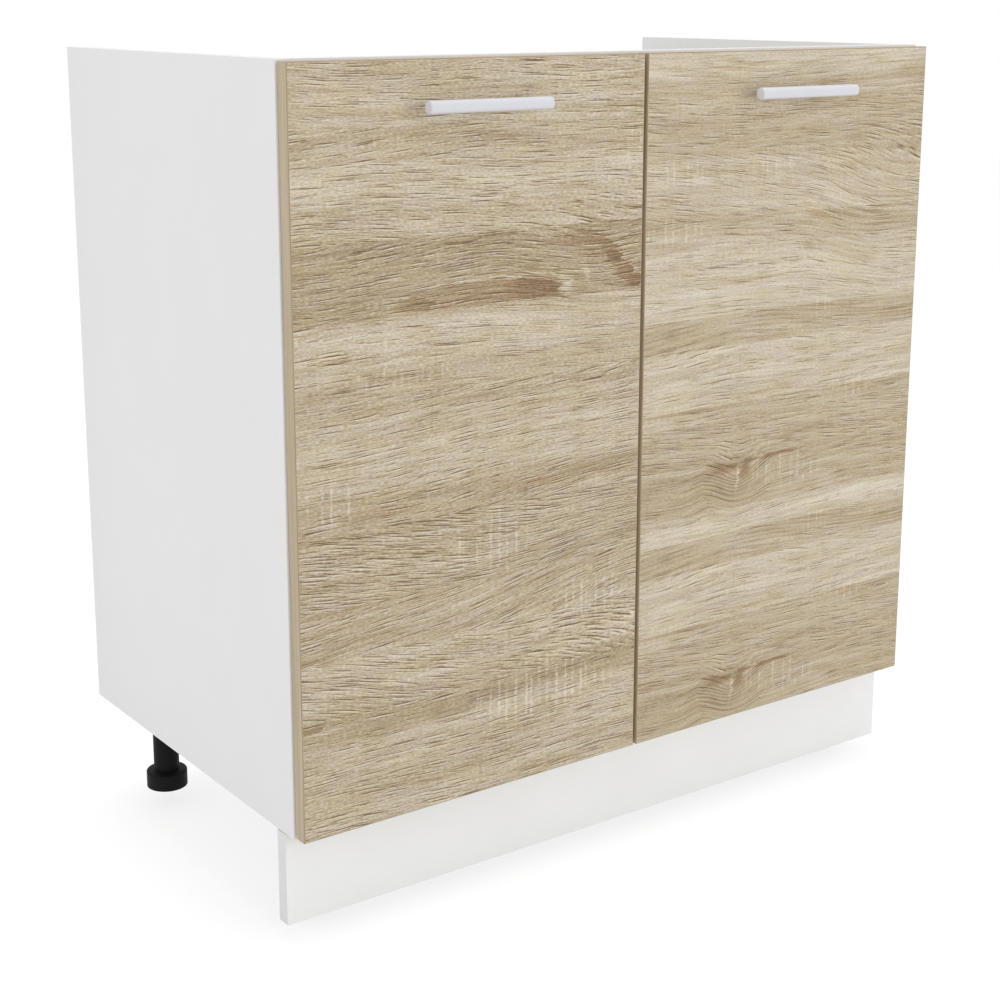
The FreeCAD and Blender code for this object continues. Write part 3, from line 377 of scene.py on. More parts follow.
class FaceGraph(Graph):
    """The node tree of a printed face, with its places measured in millimetres.

    It keeps the ways across and down the face from its top left corner, where a place lies
    across the grain, its tone so far, and its board's seed.
    """

    def __init__(self, name: str, left_edge: float, top_edge: float) -> None:
        """Starts the tree with straight grain.

        Args:
            name: The material's name.
            left_edge: Where the face begins on its left, in metres.
            top_edge: Where it begins at its top.
        """
        super().__init__(bpy.data.materials.new(name))
        face = self.add("VectorMath:MULTIPLY_ADD", self.add("TexCoord", out="Object"),
                        (1 / MM, 0.0, -1 / MM), (-left_edge / MM, 0.0, top_edge / MM))
        self.across, _, self.down = self.add("SeparateXYZ", face).node.outputs
        self.grain = self.down
        self.tone: Input = 0.0
        self.seed: Input = (0.0, 0.0, 0.0)

    def cell(self, y: Socket, size: Pair, draw: Draw) -> Socket:
        """Measures a place in a pattern's cells.

        Args:
            y: The way down the cells.
            size: How far a cell reaches across the face, and down that way.
            draw: Which part of the endless field is used.

        Returns:
            The place in cells.
        """
        place = self.add("CombineXYZ", self.across, y)
        place = self.add("VectorMath:MULTIPLY_ADD", place, (1 / size[0], 1 / size[1], 0.0),
                         (draw.value, draw.value * 1.7, 0.0))
        return self.add("VectorMath:ADD", place, self.seed)

    def vary(self, y: Socket, size: Pair, draw: Draw, gain: float = 1.0,
             onto: Input = 0.0, detail: float = 0.0) -> Socket:
        """Adds a soft random field to a value.

        Args:
            y: The way down the field's cells.
            size: A cell's size, as for cell.
            draw: Which part of the field is used.
            gain: How much the field adds, from trough to crest.
            onto: What it is added to.
            detail: How many finer layers it has.

        Returns:
            The sum.
        """
        field = self.add("TexNoise", self.cell(y, size, draw),
                         named={"Scale": 1.0, "Detail": detail}, noise_dimensions="2D")
        middle = self.add("Math:SUBTRACT", field, 0.5)
        return self.add("Math:MULTIPLY_ADD", middle, gain, onto)

    def inside(self, patch: Patch, x: Socket, y: Socket) -> tuple[Socket, Socket]:
        """Places a point in an oval.

        Args:
            patch: The oval.
            x: The way across the face.
            y: The way down it.

        Returns:
            The point as seen from the oval's centre, and how far out it lies, both in the
            oval's half sizes.
        """
        point = self.add("Mapping", self.add("CombineXYZ", x, y),
                         (patch.across_mm, patch.down_mm, 0.0),
                         (0.0, 0.0, math.radians(patch.tilt_deg)),
                         (patch.length_mm, patch.height_mm, 1.0), vector_type="TEXTURE")
        return point, self.add("VectorMath:LENGTH", point, out="Value")

    def press(self, y: Socket, pores: Pores, crowd: Socket) -> tuple[Socket, Socket]:
        """Presses pores into the face.

        Args:
            y: The way down the face that crosses them.
            pores: Their sizes.
            crowd: The share of places that get one.

        Returns:
            How deep a place lies in a pore, and how far on a lip with its painted highlight.
        """
        place = self.cell(y, pores.spacing_mm, pores.draw)
        spots = self.add("TexVoronoi", place, named={"Scale": 1.0, "Randomness": 1.0},
                         voronoi_dimensions="2D", feature="F1").node.outputs
        chance = self.add("SeparateColor", spots["Color"])
        chance = self.add("Math:ADD", chance, crowd)
        # The places that just get one get a faint one
        chance = self.add("MapRange", chance, 1.0, 1.35, 0.0, 1.0)
        offset = self.add("VectorMath:SUBTRACT", place, spots["Position"])
        size = (pores.spacing_mm[0] / pores.half_length_mm,
                pores.spacing_mm[1] / pores.half_width_mm, 0.0)
        parts = []
        for drop in (0.0, pores.lip_drop_mm):
            inside = self.add("VectorMath:MULTIPLY_ADD", offset, size,
                              (0.0, -drop / pores.half_width_mm, 0.0))
            far = self.add("VectorMath:LENGTH", inside, out="Value")
            deep = self.add("MapRange", far, 0.3, 1.0, 1.0, 0.0)
            parts.append(self.add("Math:MULTIPLY", deep, chance))
        return parts[0], parts[1]


@dataclass(frozen=True)
class OakDecor:
    """Printed oak paper pressed with a pored plate, with the grain lying across the door.

    The eye sees boards glued side by side, each with its own tone; soft streaks; short
    dark pores, each with a pale lip along its lower side painted as a highlight; growth
    rings in some boards; darker heartwood with a ragged pale rim; and the pale upright
    scratches of a bandsaw. Levels are sRGB steps of 255.
    """

    name: str
    left_edge: float
    top_edge: float
    seed: float
    # Tone down the face: how far down, and the level there
    bands: tuple[Pair, ...]
    boards: tuple[Board, ...]
    swirls: tuple[Swirl, ...]
    hearts: tuple[Patch, ...]
    gleams: tuple[Patch, ...]
    saw_marks: tuple[Patch, ...]
    # The print repeats by this much below the given place
    repeat_mm: float = 0.0
    repeat_from_mm: float = 2000.0
    height_mm: float = 716.0
    # The inks from the lowest level to the highest, and shares of their red, green and blue
    lowest: float = 120.0
    highest: float = 220.0
    inks: tuple[tuple[float, str], ...] = (
        (0.0, "745c42"), (0.11, "836f57"), (0.35, "9b896e"), (0.57, "b1a085"),
        (0.72, "c0b39d"), (0.93, "d5ccbc"), (1.0, "dcd5c7"),
    )
    cool: tuple[float, ...] = (0.99, 0.976, 0.985, 1.0)
    warm: tuple[float, ...] = (1.0, 0.965, 0.845, 1.0)
    reddish: tuple[float, ...] = (1.03, 0.94, 0.85, 1.0)
    # The pores and hairlines darken a board by about this much in all
    pore_shade: float = 6.5
    # How far each part of the print lightens or darkens it, in levels
    cloud_levels: float = 34.0
    streak_levels: float = 32.0
    ring_levels: float = 40.0
    heart_levels: float = 26.0
    rim_levels: float = 30.0
    gleam_levels: float = 22.0
    fibre_levels: float = 42.0
    hairline_levels: float = 18.0
    pore_levels: float = 64.0
    # How far the lips' painted highlight lightens the print
    lip_highlight_levels: float = 24.0
    scratch_levels: float = 25.0
    # How far the grain is bent
    wander_lift_mm: float = 18.0
    ripple_lift_mm: float = 2.5
    # How far one wave, streak or patch reaches along the grain and across it
    wander_mm: Pair = (260.0, 90.0)
    ripple_mm: Pair = (60.0, 18.0)
    cloud_mm: Pair = (260.0, 13.0)
    streak_mm: Pair = (60.0, 3.2)
    tint_mm: Pair = (70.0, 14.0)
    # Real fibres are a few tenths of a millimetre thick, and are drawn coarser to show
    fibre_mm: Pair = (4.2, 1.1)
    hairline_mm: Pair = (64.0, 3.2)
    hairline_patch_mm: Pair = (110.0, 16.0)
    ring_drift_mm: Pair = (240.0, 40.0)
    ring_patch_mm: Pair = (90.0, 14.0)
    heart_ragged_mm: Pair = (30.0, 7.0)
    heart_wavy_mm: Pair = (24.0, 9.0)
    pore_patch_mm: Pair = (70.0, 12.0)
    saw_drift_mm: Pair = (60.0, 9.0)
    saw_edge_mm: Pair = (2.6, 3.4)
    saw_wear_mm: Pair = (2.6, 8.0)
    ring_mm: float = 6.0
    saw_pitch_mm: float = 10.0
    long_pores: Pores = Pores((38.0, 3.6), 20.0, 0.62, 1.1, Draw.LONG_PORES)
    short_pores: Pores = Pores((17.0, 2.5), 8.5, 0.5, 0.9, Draw.SHORT_PORES)
    # The pressed plate is about 0.05 mm deep, and is drawn deeper to show
    relief_mm: float = 0.12
    # How deep a short pore is beside a long one
    short_pore_share: float = 0.7
    # How far a scratch is moved up or down, beside half its patch's height
    scratch_shift: float = 0.35

    def share(self, levels: float) -> float:
        """Turns a difference in sRGB levels to a share of the tone ramp."""
        return levels / (self.highest - self.lowest)

    def mark(self, graph: FaceGraph, amount: Socket, levels: float) -> None:
        """Changes the print's tone by this many levels where the amount is one."""
        graph.tone = graph.add("Math:MULTIPLY_ADD", amount, self.share(levels), graph.tone)

    def material(self) -> bpy.types.Material:
        """Builds the material.

        Returns:
            A new material.
        """
        graph = FaceGraph(self.name, self.left_edge, self.top_edge)
        add = graph.add
        below = add("Math:GREATER_THAN", graph.down, self.repeat_from_mm)
        graph.down = add("Math:MULTIPLY_ADD", below, -self.repeat_mm, graph.down)
        step, slope, rings, crowd = self.lay_boards(graph)
        figure = self.bend_grain(graph)
        self.shade_bands(graph, step)
        self.draw_rings(graph, add("Math:ADD", rings, figure))
        blush = self.draw_hearts(graph)
        self.draw_gleams(graph)
        fibre = graph.vary(graph.grain, self.fibre_mm, Draw.FIBRES, detail=1.0)
        self.mark(graph, fibre, self.fibre_levels)
        slant = add("Math:MULTIPLY", graph.across, slope)
        slanted = add("Math:SUBTRACT", graph.grain, slant)
        self.draw_hairlines(graph, slanted)
        pore, lip = self.draw_pores(graph, slanted, crowd)
        self.draw_scratches(graph)
        # The lips, which carry the painted highlight, also stand up in the relief
        height = add("Math:MULTIPLY", add("Math:ADD", fibre, lip), 0.5)
        height = add("Math:SUBTRACT", height, pore)
        normal = add("Bump", named={"Distance": self.relief_mm * MM, "Height": height})
        gloss = add("MapRange", fibre, -0.2, 0.2, 0.5, 0.6)
        add("OutputMaterial", add("BsdfPrincipled", named={
            "Base Color": self.ink(graph, blush), "Roughness": gloss, "IOR": 1.5,
            "Normal": normal}))
        return graph.owner

    def lay_boards(self, graph: FaceGraph) -> tuple[Socket, Socket, Socket, Socket]:
        """Splits the face into boards, and gives the graph each board's own seed.

        Args:
            graph: The face's graph.

        Returns:
            A board's step in tone, slope, share of rings and share of pores.
        """
        add = graph.add
        down = add("Math:DIVIDE", graph.down, self.height_mm)
        # A ramp holds nothing below zero, so a slope and a step are kept as 0.5 more
        board = add("ValToRGB", down, stepped=True, stops=[
            (b.top_mm / self.height_mm, (b.slope + 0.5, b.rings, b.pores, 0.5 + b.step / 100))
            for b in self.boards
        ])
        slope, rings, crowd = add("SeparateColor", board).node.outputs
        # Large uneven weights send even boards of like values to far places of the field
        mixed = add("VectorMath:DOT_PRODUCT", board, (171.3, 417.7, 913.1), out="Value")
        graph.seed = add("VectorMath:MULTIPLY_ADD", add("CombineXYZ", mixed, mixed),
                         (1.0, 0.73, 0.0), (self.seed, self.seed, 0.0))
        step = add("Math:SUBTRACT", board.node.outputs["Alpha"], 0.5)
        step = add("Math:MULTIPLY", step, self.share(100))
        return step, add("Math:SUBTRACT", slope, 0.5), rings, crowd

    def board_at(self, down_mm: float) -> Pair:
        """Finds the board at a place.

        Args:
            down_mm: How far down the face the place lies.

        Returns:
            The board's middle, and half its height.
        """
        tops = [board.top_mm for board in self.boards] + [self.height_mm]
        top = max(edge for edge in tops if edge <= down_mm)
        bottom = min(edge for edge in tops if edge > down_mm)
        return (top + bottom) / 2, (bottom - top) / 2

    def bend_grain(self, graph: FaceGraph) -> Input:
        """Bends the grain in slow waves, ripples and swirls.

        Args:
            graph: The face's graph.

        Returns:
            How strongly the swirls add rings.
        """
        add = graph.add
        grain = graph.vary(graph.down, self.wander_mm, Draw.WANDER, self.wander_lift_mm,
                           onto=graph.down)
        grain = graph.vary(graph.down, self.ripple_mm, Draw.RIPPLES, self.ripple_lift_mm,
                           onto=grain)
        figure: Input = 0.0
        for swirl in self.swirls:
            _, far = graph.inside(swirl.spot, graph.across, graph.down)
            lifted = add("MapRange", far, 1.0 - swirl.soft, 1.0, 1.0, 0.0,
                         interpolation_type=swirl.fade.value)
            grain = add("Math:MULTIPLY_ADD", lifted, swirl.lift_mm, grain)
            figure = add("Math:MULTIPLY_ADD", lifted, swirl.rings, figure)
        graph.grain = grain
        return figure

    def shade_bands(self, graph: FaceGraph, step: Socket) -> None:
        """Gives each place its tone from the bands, clouds and streaks.

        Args:
            graph: The face's graph.
            step: The board's own step in tone.
        """
        add = graph.add
        # The bands bend half as far as the grain does, so that a board's edge stays straight
        half = add("Math:MULTIPLY", add("Math:ADD", graph.grain, graph.down), 0.5 / self.height_mm)
        band = add("ValToRGB", half, stops=[
            (down / self.height_mm, (*[self.share(level + self.pore_shade - self.lowest)] * 3,
                                     1.0))
            for down, level in self.bands
        ])
        tone = add("Math:ADD", add("SeparateColor", band), step)
        tone = graph.vary(graph.grain, self.cloud_mm, Draw.CLOUDS,
                          self.share(self.cloud_levels), onto=tone, detail=2.0)
        graph.tone = graph.vary(graph.grain, self.streak_mm, Draw.STREAKS,
                                self.share(self.streak_levels), onto=tone, detail=2.0)

    def draw_rings(self, graph: FaceGraph, rings: Socket) -> None:
        """Draws growth rings: each darkens slowly and ends in a sharp line.

        Args:
            graph: The face's graph.
            rings: How strong they are.
        """
        add = graph.add
        uneven = graph.vary(graph.grain, self.ring_drift_mm, Draw.RING_DRIFT, gain=14.0,
                            onto=graph.grain)
        turn = add("Math:FRACT", add("Math:DIVIDE", uneven, self.ring_mm))
        line = add("MapRange", turn, 0.35, 0.92, 0.0, 1.0, interpolation_type="SMOOTHSTEP")
        end = add("MapRange", turn, 0.92, 1.0, 1.0, 0.0)
        line = add("Math:MULTIPLY", line, end)
        patchy = graph.vary(graph.grain, self.ring_patch_mm, Draw.RING_PATCHES, gain=2.2,
                            onto=0.55, detail=1.0)
        patchy = add("Math:MULTIPLY", patchy, rings, use_clamp=True)
        self.mark(graph, add("Math:MULTIPLY", line, patchy), -self.ring_levels)

    def draw_hearts(self, graph: FaceGraph) -> Input:
        """Draws heartwood with ragged pale rims.

        Args:
            graph: The face's graph.

        Returns:
            How reddish the hearts make a place.
        """
        add = graph.add
        x = graph.vary(graph.down, self.heart_ragged_mm, Draw.HEARTS_ACROSS, gain=34.0,
                       onto=graph.across, detail=3.0)
        y = graph.vary(graph.down, self.heart_wavy_mm, Draw.HEARTS_DOWN, gain=7.0,
                       onto=graph.down, detail=3.0)
        blush: Input = 0.0
        for heart in self.hearts:
            point, far = graph.inside(heart, x, y)
            along, upright, _ = add("SeparateXYZ", point).node.outputs
            board = add("Math:COMPARE", graph.down, *self.board_at(heart.down_mm))
            # A heart darkens towards its far end. A hard rim is pale above and at that end
            core = add("MapRange", along, -1.0, 1.0, 0.45, 1.3)
            within = add("MapRange", far, 1.0 - heart.soft, 1.0, heart.strength, 0.0)
            within = add("Math:MULTIPLY", within, board)
            core = add("Math:MULTIPLY", core, within)
            self.mark(graph, core, -self.heart_levels)
            blush = add("Math:MAXIMUM", core, blush)
            clear = heart.strength * (1.0 - 3 * heart.soft)
            if clear > 0.0:
                rim = add("Math:ABSOLUTE", add("Math:SUBTRACT", far, 1.05))
                rim = add("MapRange", rim, 0.02, 0.08, clear, 0.0)
                lean = add("Math:SUBTRACT", along, upright)
                bare = add("MapRange", lean, -0.3, 0.4, 0.0, board)
                self.mark(graph, add("Math:MULTIPLY", rim, bare), self.rim_levels)
        return blush

    def draw_gleams(self, graph: FaceGraph) -> None:
        """Draws pale gleams.

        Args:
            graph: The face's graph.
        """
        x = graph.vary(graph.down, self.heart_ragged_mm, Draw.HEARTS_ACROSS, gain=10.0,
                       onto=graph.across, detail=2.0)
        for gleam in self.gleams:
            _, far = graph.inside(gleam, x, graph.down)
            within = graph.add("MapRange", far, 0.4, 1.0, gleam.strength, 0.0)
            self.mark(graph, within, self.gleam_levels)

    def draw_hairlines(self, graph: FaceGraph, slanted: Socket) -> None:
        """Draws long hairlines that run on between the pores.

        Args:
            graph: The face's graph.
            slanted: Where a place lies across the lines.
        """
        add = graph.add
        level = graph.vary(slanted, self.hairline_mm, Draw.HAIRLINES)
        line = add("MapRange", add("Math:ABSOLUTE", level), 0.0, 0.13, 1.0, 0.0)
        drawn = graph.vary(slanted, self.hairline_patch_mm, Draw.HAIRLINE_PATCHES, gain=2.4,
                           onto=0.6, detail=1.0)
        line = add("Math:MULTIPLY", line, add("Math:MINIMUM", drawn, 1.0), use_clamp=True)
        self.mark(graph, line, -self.hairline_levels)

    def draw_pores(self, graph: FaceGraph, slanted: Socket,
                   crowd: Socket) -> tuple[Socket, Socket]:
        """Draws long pores, and fainter short ones between them.

        Args:
            graph: The face's graph.
            slanted: Where a place lies across the pores.
            crowd: The share of places that get a pore.

        Returns:
            How deep a place lies in a pore, and how far on a pore's lip, where a highlight is
            painted.
        """
        add = graph.add
        uneven = graph.vary(slanted, self.pore_patch_mm, Draw.PORE_PATCHES, gain=1.1,
                            onto=0.05, detail=1.0)
        crowd = add("Math:ADD", crowd, uneven)
        pore, lip = (
            add("Math:MAXIMUM", long, add("Math:MULTIPLY", short, self.short_pore_share))
            for long, short in zip(graph.press(slanted, self.long_pores, crowd),
                                   graph.press(slanted, self.short_pores, crowd))
        )
        # The lips are lightened: a painted highlight along each pore's lower side
        self.mark(graph, lip, self.lip_highlight_levels)
        self.mark(graph, pore, -self.pore_levels)
        return pore, lip

    def draw_scratches(self, graph: FaceGraph) -> None:
        """Draws the bandsaw's pale upright scratches, each with its own length.

        Args:
            graph: The face's graph.
        """
        add = graph.add
        way = graph.vary(graph.down, self.saw_drift_mm, Draw.SAW_DRIFT, gain=1.6,
                         onto=graph.across, detail=1.0)
        lines = add("TexVoronoi", named={
            "W": add("Math:DIVIDE", way, self.saw_pitch_mm), "Scale": 1.0,
            "Randomness": 0.75}, voronoi_dimensions="1D").node.outputs
        rough = graph.vary(graph.down, self.saw_edge_mm, Draw.SAW_EDGES, gain=0.16,
                           onto=lines["Distance"], detail=1.0)
        line = add("MapRange", rough, 0.0, 0.22, 1.0, 0.0)
        chance, place, _ = add("SeparateColor", lines["Color"]).node.outputs
        marks: Input = 0.0
        for patch in self.saw_marks:
            # Each scratch is moved up or down a little, and has its own strength
            shift = self.scratch_shift * patch.height_mm
            y = add("Math:ADD", graph.down, add("MapRange", place, 0.0, 1.0, -shift, shift))
            _, far = graph.inside(patch, graph.across, y)
            within = add("MapRange", far, 0.7, 1.0, patch.strength, 0.0)
            marks = add("Math:MAXIMUM", marks, within)
        worn = graph.vary(graph.down, self.saw_wear_mm, Draw.SAW_WEAR, gain=3.2, onto=0.8,
                          detail=1.0)
        line = add("Math:MULTIPLY", line, add("MapRange", chance, 0.0, 0.5, 0.35, 1.0))
        line = add("Math:MULTIPLY", line, marks)
        line = add("Math:MULTIPLY", line, worn, use_clamp=True)
        self.mark(graph, line, self.scratch_levels)

    def ink(self, graph: FaceGraph, blush: Input) -> Socket:
        """Turns the tone to colour, in places cooler, warmer or redder.

        Args:
            graph: The face's graph.
            blush: How reddish a place is.

        Returns:
            The colour.
        """
        add = graph.add
        colour = add("ValToRGB", graph.tone,
                     stops=[(place, linear(code)) for place, code in self.inks])
        warmth = graph.vary(graph.grain, self.tint_mm, Draw.TINTS, gain=1.6, onto=0.5,
                            detail=2.0)
        tint: Input = self.cool
        for amount, other in ((warmth, self.warm), (blush, self.reddish)):
            tint = add("Mix", amount, named={COLOUR_A: tint, COLOUR_B: other},
                       out=MIXED_COLOUR, data_type="RGBA")
        return add("VectorMath:MULTIPLY", colour, tint)


def box_of(node: str) -> tuple[Vector, Vector]:
    """Gives a CAD node's lowest and highest corners."""
    low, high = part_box(node)
    return Vector(low), Vector(high)


def to_mesh(source: bmesh.types.BMesh, name: str) -> bpy.types.Mesh:
    """Turns a bmesh to a mesh.

    Args:
        source: The bmesh, which is freed.
        name: The mesh's name.

    Returns:
        The new mesh.
    """
    mesh = bpy.data.meshes.new(name)
    source.to_mesh(mesh)
    source.free()
    return mesh


def linked(name: str, data: bpy.types.ID) -> bpy.types.Object:
    """Puts a new object in the scene.

    Args:
        name: The object's name.
        data: Its mesh, lamp or lens.

    Returns:
        The object.
    """
    new = bpy.data.objects.new(name, data)
    bpy.context.scene.collection.objects.link(new)
    return new


def new_piece(source: bmesh.types.BMesh, name: str, body: str, slot: Slot, replaced: str,
              *finishes: bpy.types.Material) -> bpy.types.Object:
    """Puts a bmesh in the scene as a piece of the cabinet, and frees it.

    Args:
        source: The shape, already in the frame's coordinates.
        name: The piece's name.
        body: The CAD body that it rides on.
        slot: The record's slot for it. Not used.
        replaced: The CAD node that it stands for.
        *finishes: Its materials. All of it takes the first.

    Returns:
        The new object.
    """
    piece = linked(name, to_mesh(source, name))
    for finish in finishes:
        piece.data.materials.append(finish)
    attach(piece, body)
    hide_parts(replaced)
    log.info("%s: %d faces, rides on %s", name, len(piece.data.polygons), body)
    return piece


def welded(node: str) -> bmesh.types.BMesh:
    """Copies a CAD node's mesh with its corners joined and its flat faces made whole.

    Args:
        node: The CAD node's name.

    Returns:
        The copy, to be freed by the caller.
    """
    mesh = bmesh.new()
    mesh.from_mesh(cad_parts[node].data)
    bmesh.ops.remove_doubles(mesh, verts=mesh.verts, dist=WELD)
    bmesh.ops.dissolve_limit(mesh, angle_limit=math.radians(FLAT_DEG), verts=mesh.verts,
                             edges=mesh.edges)
    return mesh


def shade(mesh: bmesh.types.BMesh, crease_deg: float = 32.0) -> None:
    """Shades a mesh smooth, but for its sharp edges.

    Args:
        mesh: The mesh.
        crease_deg: The angle from which an edge is sharp.
    """
    limit = math.radians(crease_deg)
    for face in mesh.faces:
        face.smooth = True
    for edge in mesh.edges:
        edge.smooth = len(edge.link_faces) == 2 and edge.calc_face_angle(0.0) < limit


def is_outer(edge: bmesh.types.BMEdge, low: Vector, high: Vector,
             only_towards: tuple[int, ...]) -> bool:
    """Tells whether an edge lies on two outer sides of a board's box.

    Args:
        edge: The edge.
        low: The box's lowest corner.
        high: Its highest corner.
        only_towards: If given, the axes whose lowest side the edge has to lie on.

    Returns:
        Whether it does.
    """
    on_low, on_high = (
        [all(abs(end.co[axis] - side[axis]) < TOUCH for end in edge.verts) for axis in range(3)]
        for side in (low, high)
    )
    return sum(on_low + on_high) == 2 and all(on_low[axis] for axis in only_towards)


def softened(node: str, radius: float, only_towards: tuple[int, ...] = ()
             ) -> bmesh.types.BMesh:
    """Copies a CAD node's mesh with its outer edges rounded.

    Args:
        node: The CAD node's name.
        radius: How far the rounding reaches from an edge.
        only_towards: If given, the axes whose lowest side keeps the rounding.

    Returns:
        The copy, to be freed by the caller.
    """
    mesh = welded(node)
    low, high = box_of(node)
    edges = [edge for edge in mesh.edges if is_outer(edge, low, high, only_towards)]
    bmesh.ops.bevel(mesh, geom=edges, offset=radius, segments=3, profile=0.5,
                    affect="EDGES", clamp_overlap=True)
    shade(mesh)
    return mesh


def dress(nodes: Iterable[str], material: bpy.types.Material) -> None:
    """Gives CAD nodes that stay in view a material.

    Args:
        nodes: The nodes' names.
        material: What they are made of.
    """
    for node in nodes:
        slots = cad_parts[node].material_slots
        if slots:
            slots[0].material = material
        else:
            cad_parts[node].data.materials.append(material)
        log.info("%s: dressed in %s", node, material.name)


def nodes_like(*starts: str) -> list[str]:
    """Lists the CAD nodes whose names start with any of the words."""
    return sorted(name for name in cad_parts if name.startswith(starts))


@dataclass
class Carcass:
    """The white boards, their front tapes and the hidden fittings."""

    edge_round: float = 0.35 * MM
    tape_round: float = 0.8 * MM
    # Directions in which a board shows sawn chipboard
    raw_ends: tuple[tuple[str, tuple[tuple[int, int, int], ...]], ...] = (
        ("side_panel_left", ((0, 1, 0), (0, 0, -1))),
        ("side_panel_right", ((0, 1, 0), (0, 0, -1))),
        ("bottom_panel", ((0, 1, 0),)),
        ("front_rail", ((0, 0, -1),)),
        ("rear_rail", ((0, 0, -1),)),
    )

    def build(self) -> None:
        """Builds and dresses every piece."""
        white = WHITE_MELAMINE.material()
        chipboard = RawChipboard().material()
        tape = WHITE_TAPE.material()
        for node, ends in self.raw_ends:
            piece = new_piece(softened(node, self.edge_round), f"{node}_eased", "carcass",
                              Slot.WHITE_BOARD, node, white, chipboard)
            for face in piece.data.polygons:
                if any(face.normal.dot(Vector(end)) > SQUARE_ON for end in ends):
                    face.material_index = 1
        for node in nodes_like("side_edge_band", "bottom_edge_band"):
            new_piece(softened(node, self.tape_round, only_towards=(1,)), f"{node}_eased",
                      "carcass", Slot.WHITE_EDGE_BAND, node, tape)
        dress(["cam_housings"], CAST_ZINC.material())
        dress(["cam_bolts"], ZINC_STEEL.material())
        dress(["wooden_dowels"], BEECH.material())


@dataclass
class Legs:
    """Four black legs: a flanged sleeve under the bottom, and a foot screwed into it."""

    def build(self) -> None:
        """Builds and dresses every piece."""
        black = BLACK_POLYPROPYLENE.material()
        for node in nodes_like("leg_sleeve", "leg_foot"):
            mesh = welded(node)
            shade(mesh)
            body = "carcass" if "sleeve" in node else node.replace("leg_foot", "foot")
            new_piece(mesh, f"{node}_moulded", body, Slot.BLACK_PLASTIC, node, black)
        dress(["leg_screws"], ZINC_STEEL.material())


@dataclass
class Plinth:
    """The kick board in front of the legs, and the clips that hold it to them."""

    edge_round: float = 0.5 * MM

    def build(self) -> None:
        """Builds and dresses every piece."""
        board = new_piece(softened("plinth_board", self.edge_round), "plinth_eased", "plinth",
                          Slot.WHITE_BOARD, "plinth_board", PLINTH_WHITE_PAINTED_LIGHTER.material(),
                          PLINTH_END_GREYER_WHITE.material())
        for face in board.data.polygons:
            # Faces that look sideways take the greyer white; the front keeps the white lifted with
            # painted light
            face.material_index = int(abs(face.normal.x) > SQUARE_ON)
        dress(["plinth_clips"], GREY_ACETAL.material())
        dress(["plinth_clip_screws"], ZINC_STEEL.material())


LEFT_OAK = OakDecor(
    name="pressed_oak_decor_left",
    left_edge=-0.398,
    top_edge=0.813,
    seed=3.0,
    pore_shade=9.0,
    fibre_levels=64.0,
    hairline_levels=24.0,
    pore_levels=86.0,
    # A stronger painted highlight on the pores' lips
    lip_highlight_levels=42.0,
    scratch_levels=32.0,
    bands=(
        (0, 186), (45, 190), (55, 194), (72, 192), (90, 196), (120, 197), (146, 192),
        (158, 190), (168, 186), (190, 190), (225, 188), (231, 190), (245, 196), (262, 194),
        (278, 183), (300, 184), (322, 187), (345, 190), (372, 195), (388, 190), (399, 176),
        (416, 177), (428, 184), (460, 186), (488, 180), (500, 182), (530, 185), (566, 191),
        (590, 186), (601, 178), (616, 172), (630, 191),
    ),
    boards=(
        Board(0, 0, 0.02, 0.0, 0.45), Board(57, -8, -0.04, 0.25, 0.35),
        Board(88, -3, 0.03, 0.0, 0.5), Board(159, -14, -0.04, 0.3, 0.6),
        Board(227, 0, 0.03, 0.0, 0.3), Board(300, 0, -0.06, 0.1, 0.45),
        Board(424, -2, 0.12, 0.0, 0.9), Board(495, 0, -0.04, 0.35, 0.5),
        Board(545, 0, 0.18, 0.0, 0.7), Board(600, -2, 0.0, 0.1, 0.4),
        Board(640, -3, 0.02, 0.0, 0.6),
    ),
    swirls=(
        Swirl(Patch(480, 520, 330, 110), 34, 0.75, rings=0.1),
        Swirl(Patch(400, 196, 190, 90), -16, 0.8, rings=0.2),
    ),
    hearts=(
        Patch(205, 221, 96, 17, 0.85), Patch(266, 216, 34, 12, 0.6),
        Patch(124, 222, 20, 9, 0.6), Patch(308, 174, 40, 9, 0.8, 0, 0.6),
        Patch(328, 190, 26, 11, 0.6, 14, 0.7), Patch(350, 184, 32, 9, 1.0, 32, 0.3),
        Patch(374, 208, 32, 10, 1.2, 42),
        Patch(75, 411, 70, 6, 0.5, 0, 0.6), Patch(255, 408, 50, 5, 0.45, 0, 0.6),
        Patch(340, 405, 40, 5, 0.5, 0, 0.6), Patch(2, 606, 22, 4, 0.8),
    ),
    gleams=(
        Patch(326, 206, 5, 20, 0.8, -14), Patch(301, 216, 7, 15, 0.45, -24),
        Patch(25, 611, 26, 3, 0.8),
    ),
    saw_marks=(
        Patch(35, 396, 34, 26, 0.8), Patch(215, 458, 50, 36, 0.9), Patch(335, 536, 48, 24, 0.7),
        Patch(275, 624, 98, 28, 1.2), Patch(110, 286, 80, 10, 0.5), Patch(385, 85, 14, 24, 0.5),
    ),
)
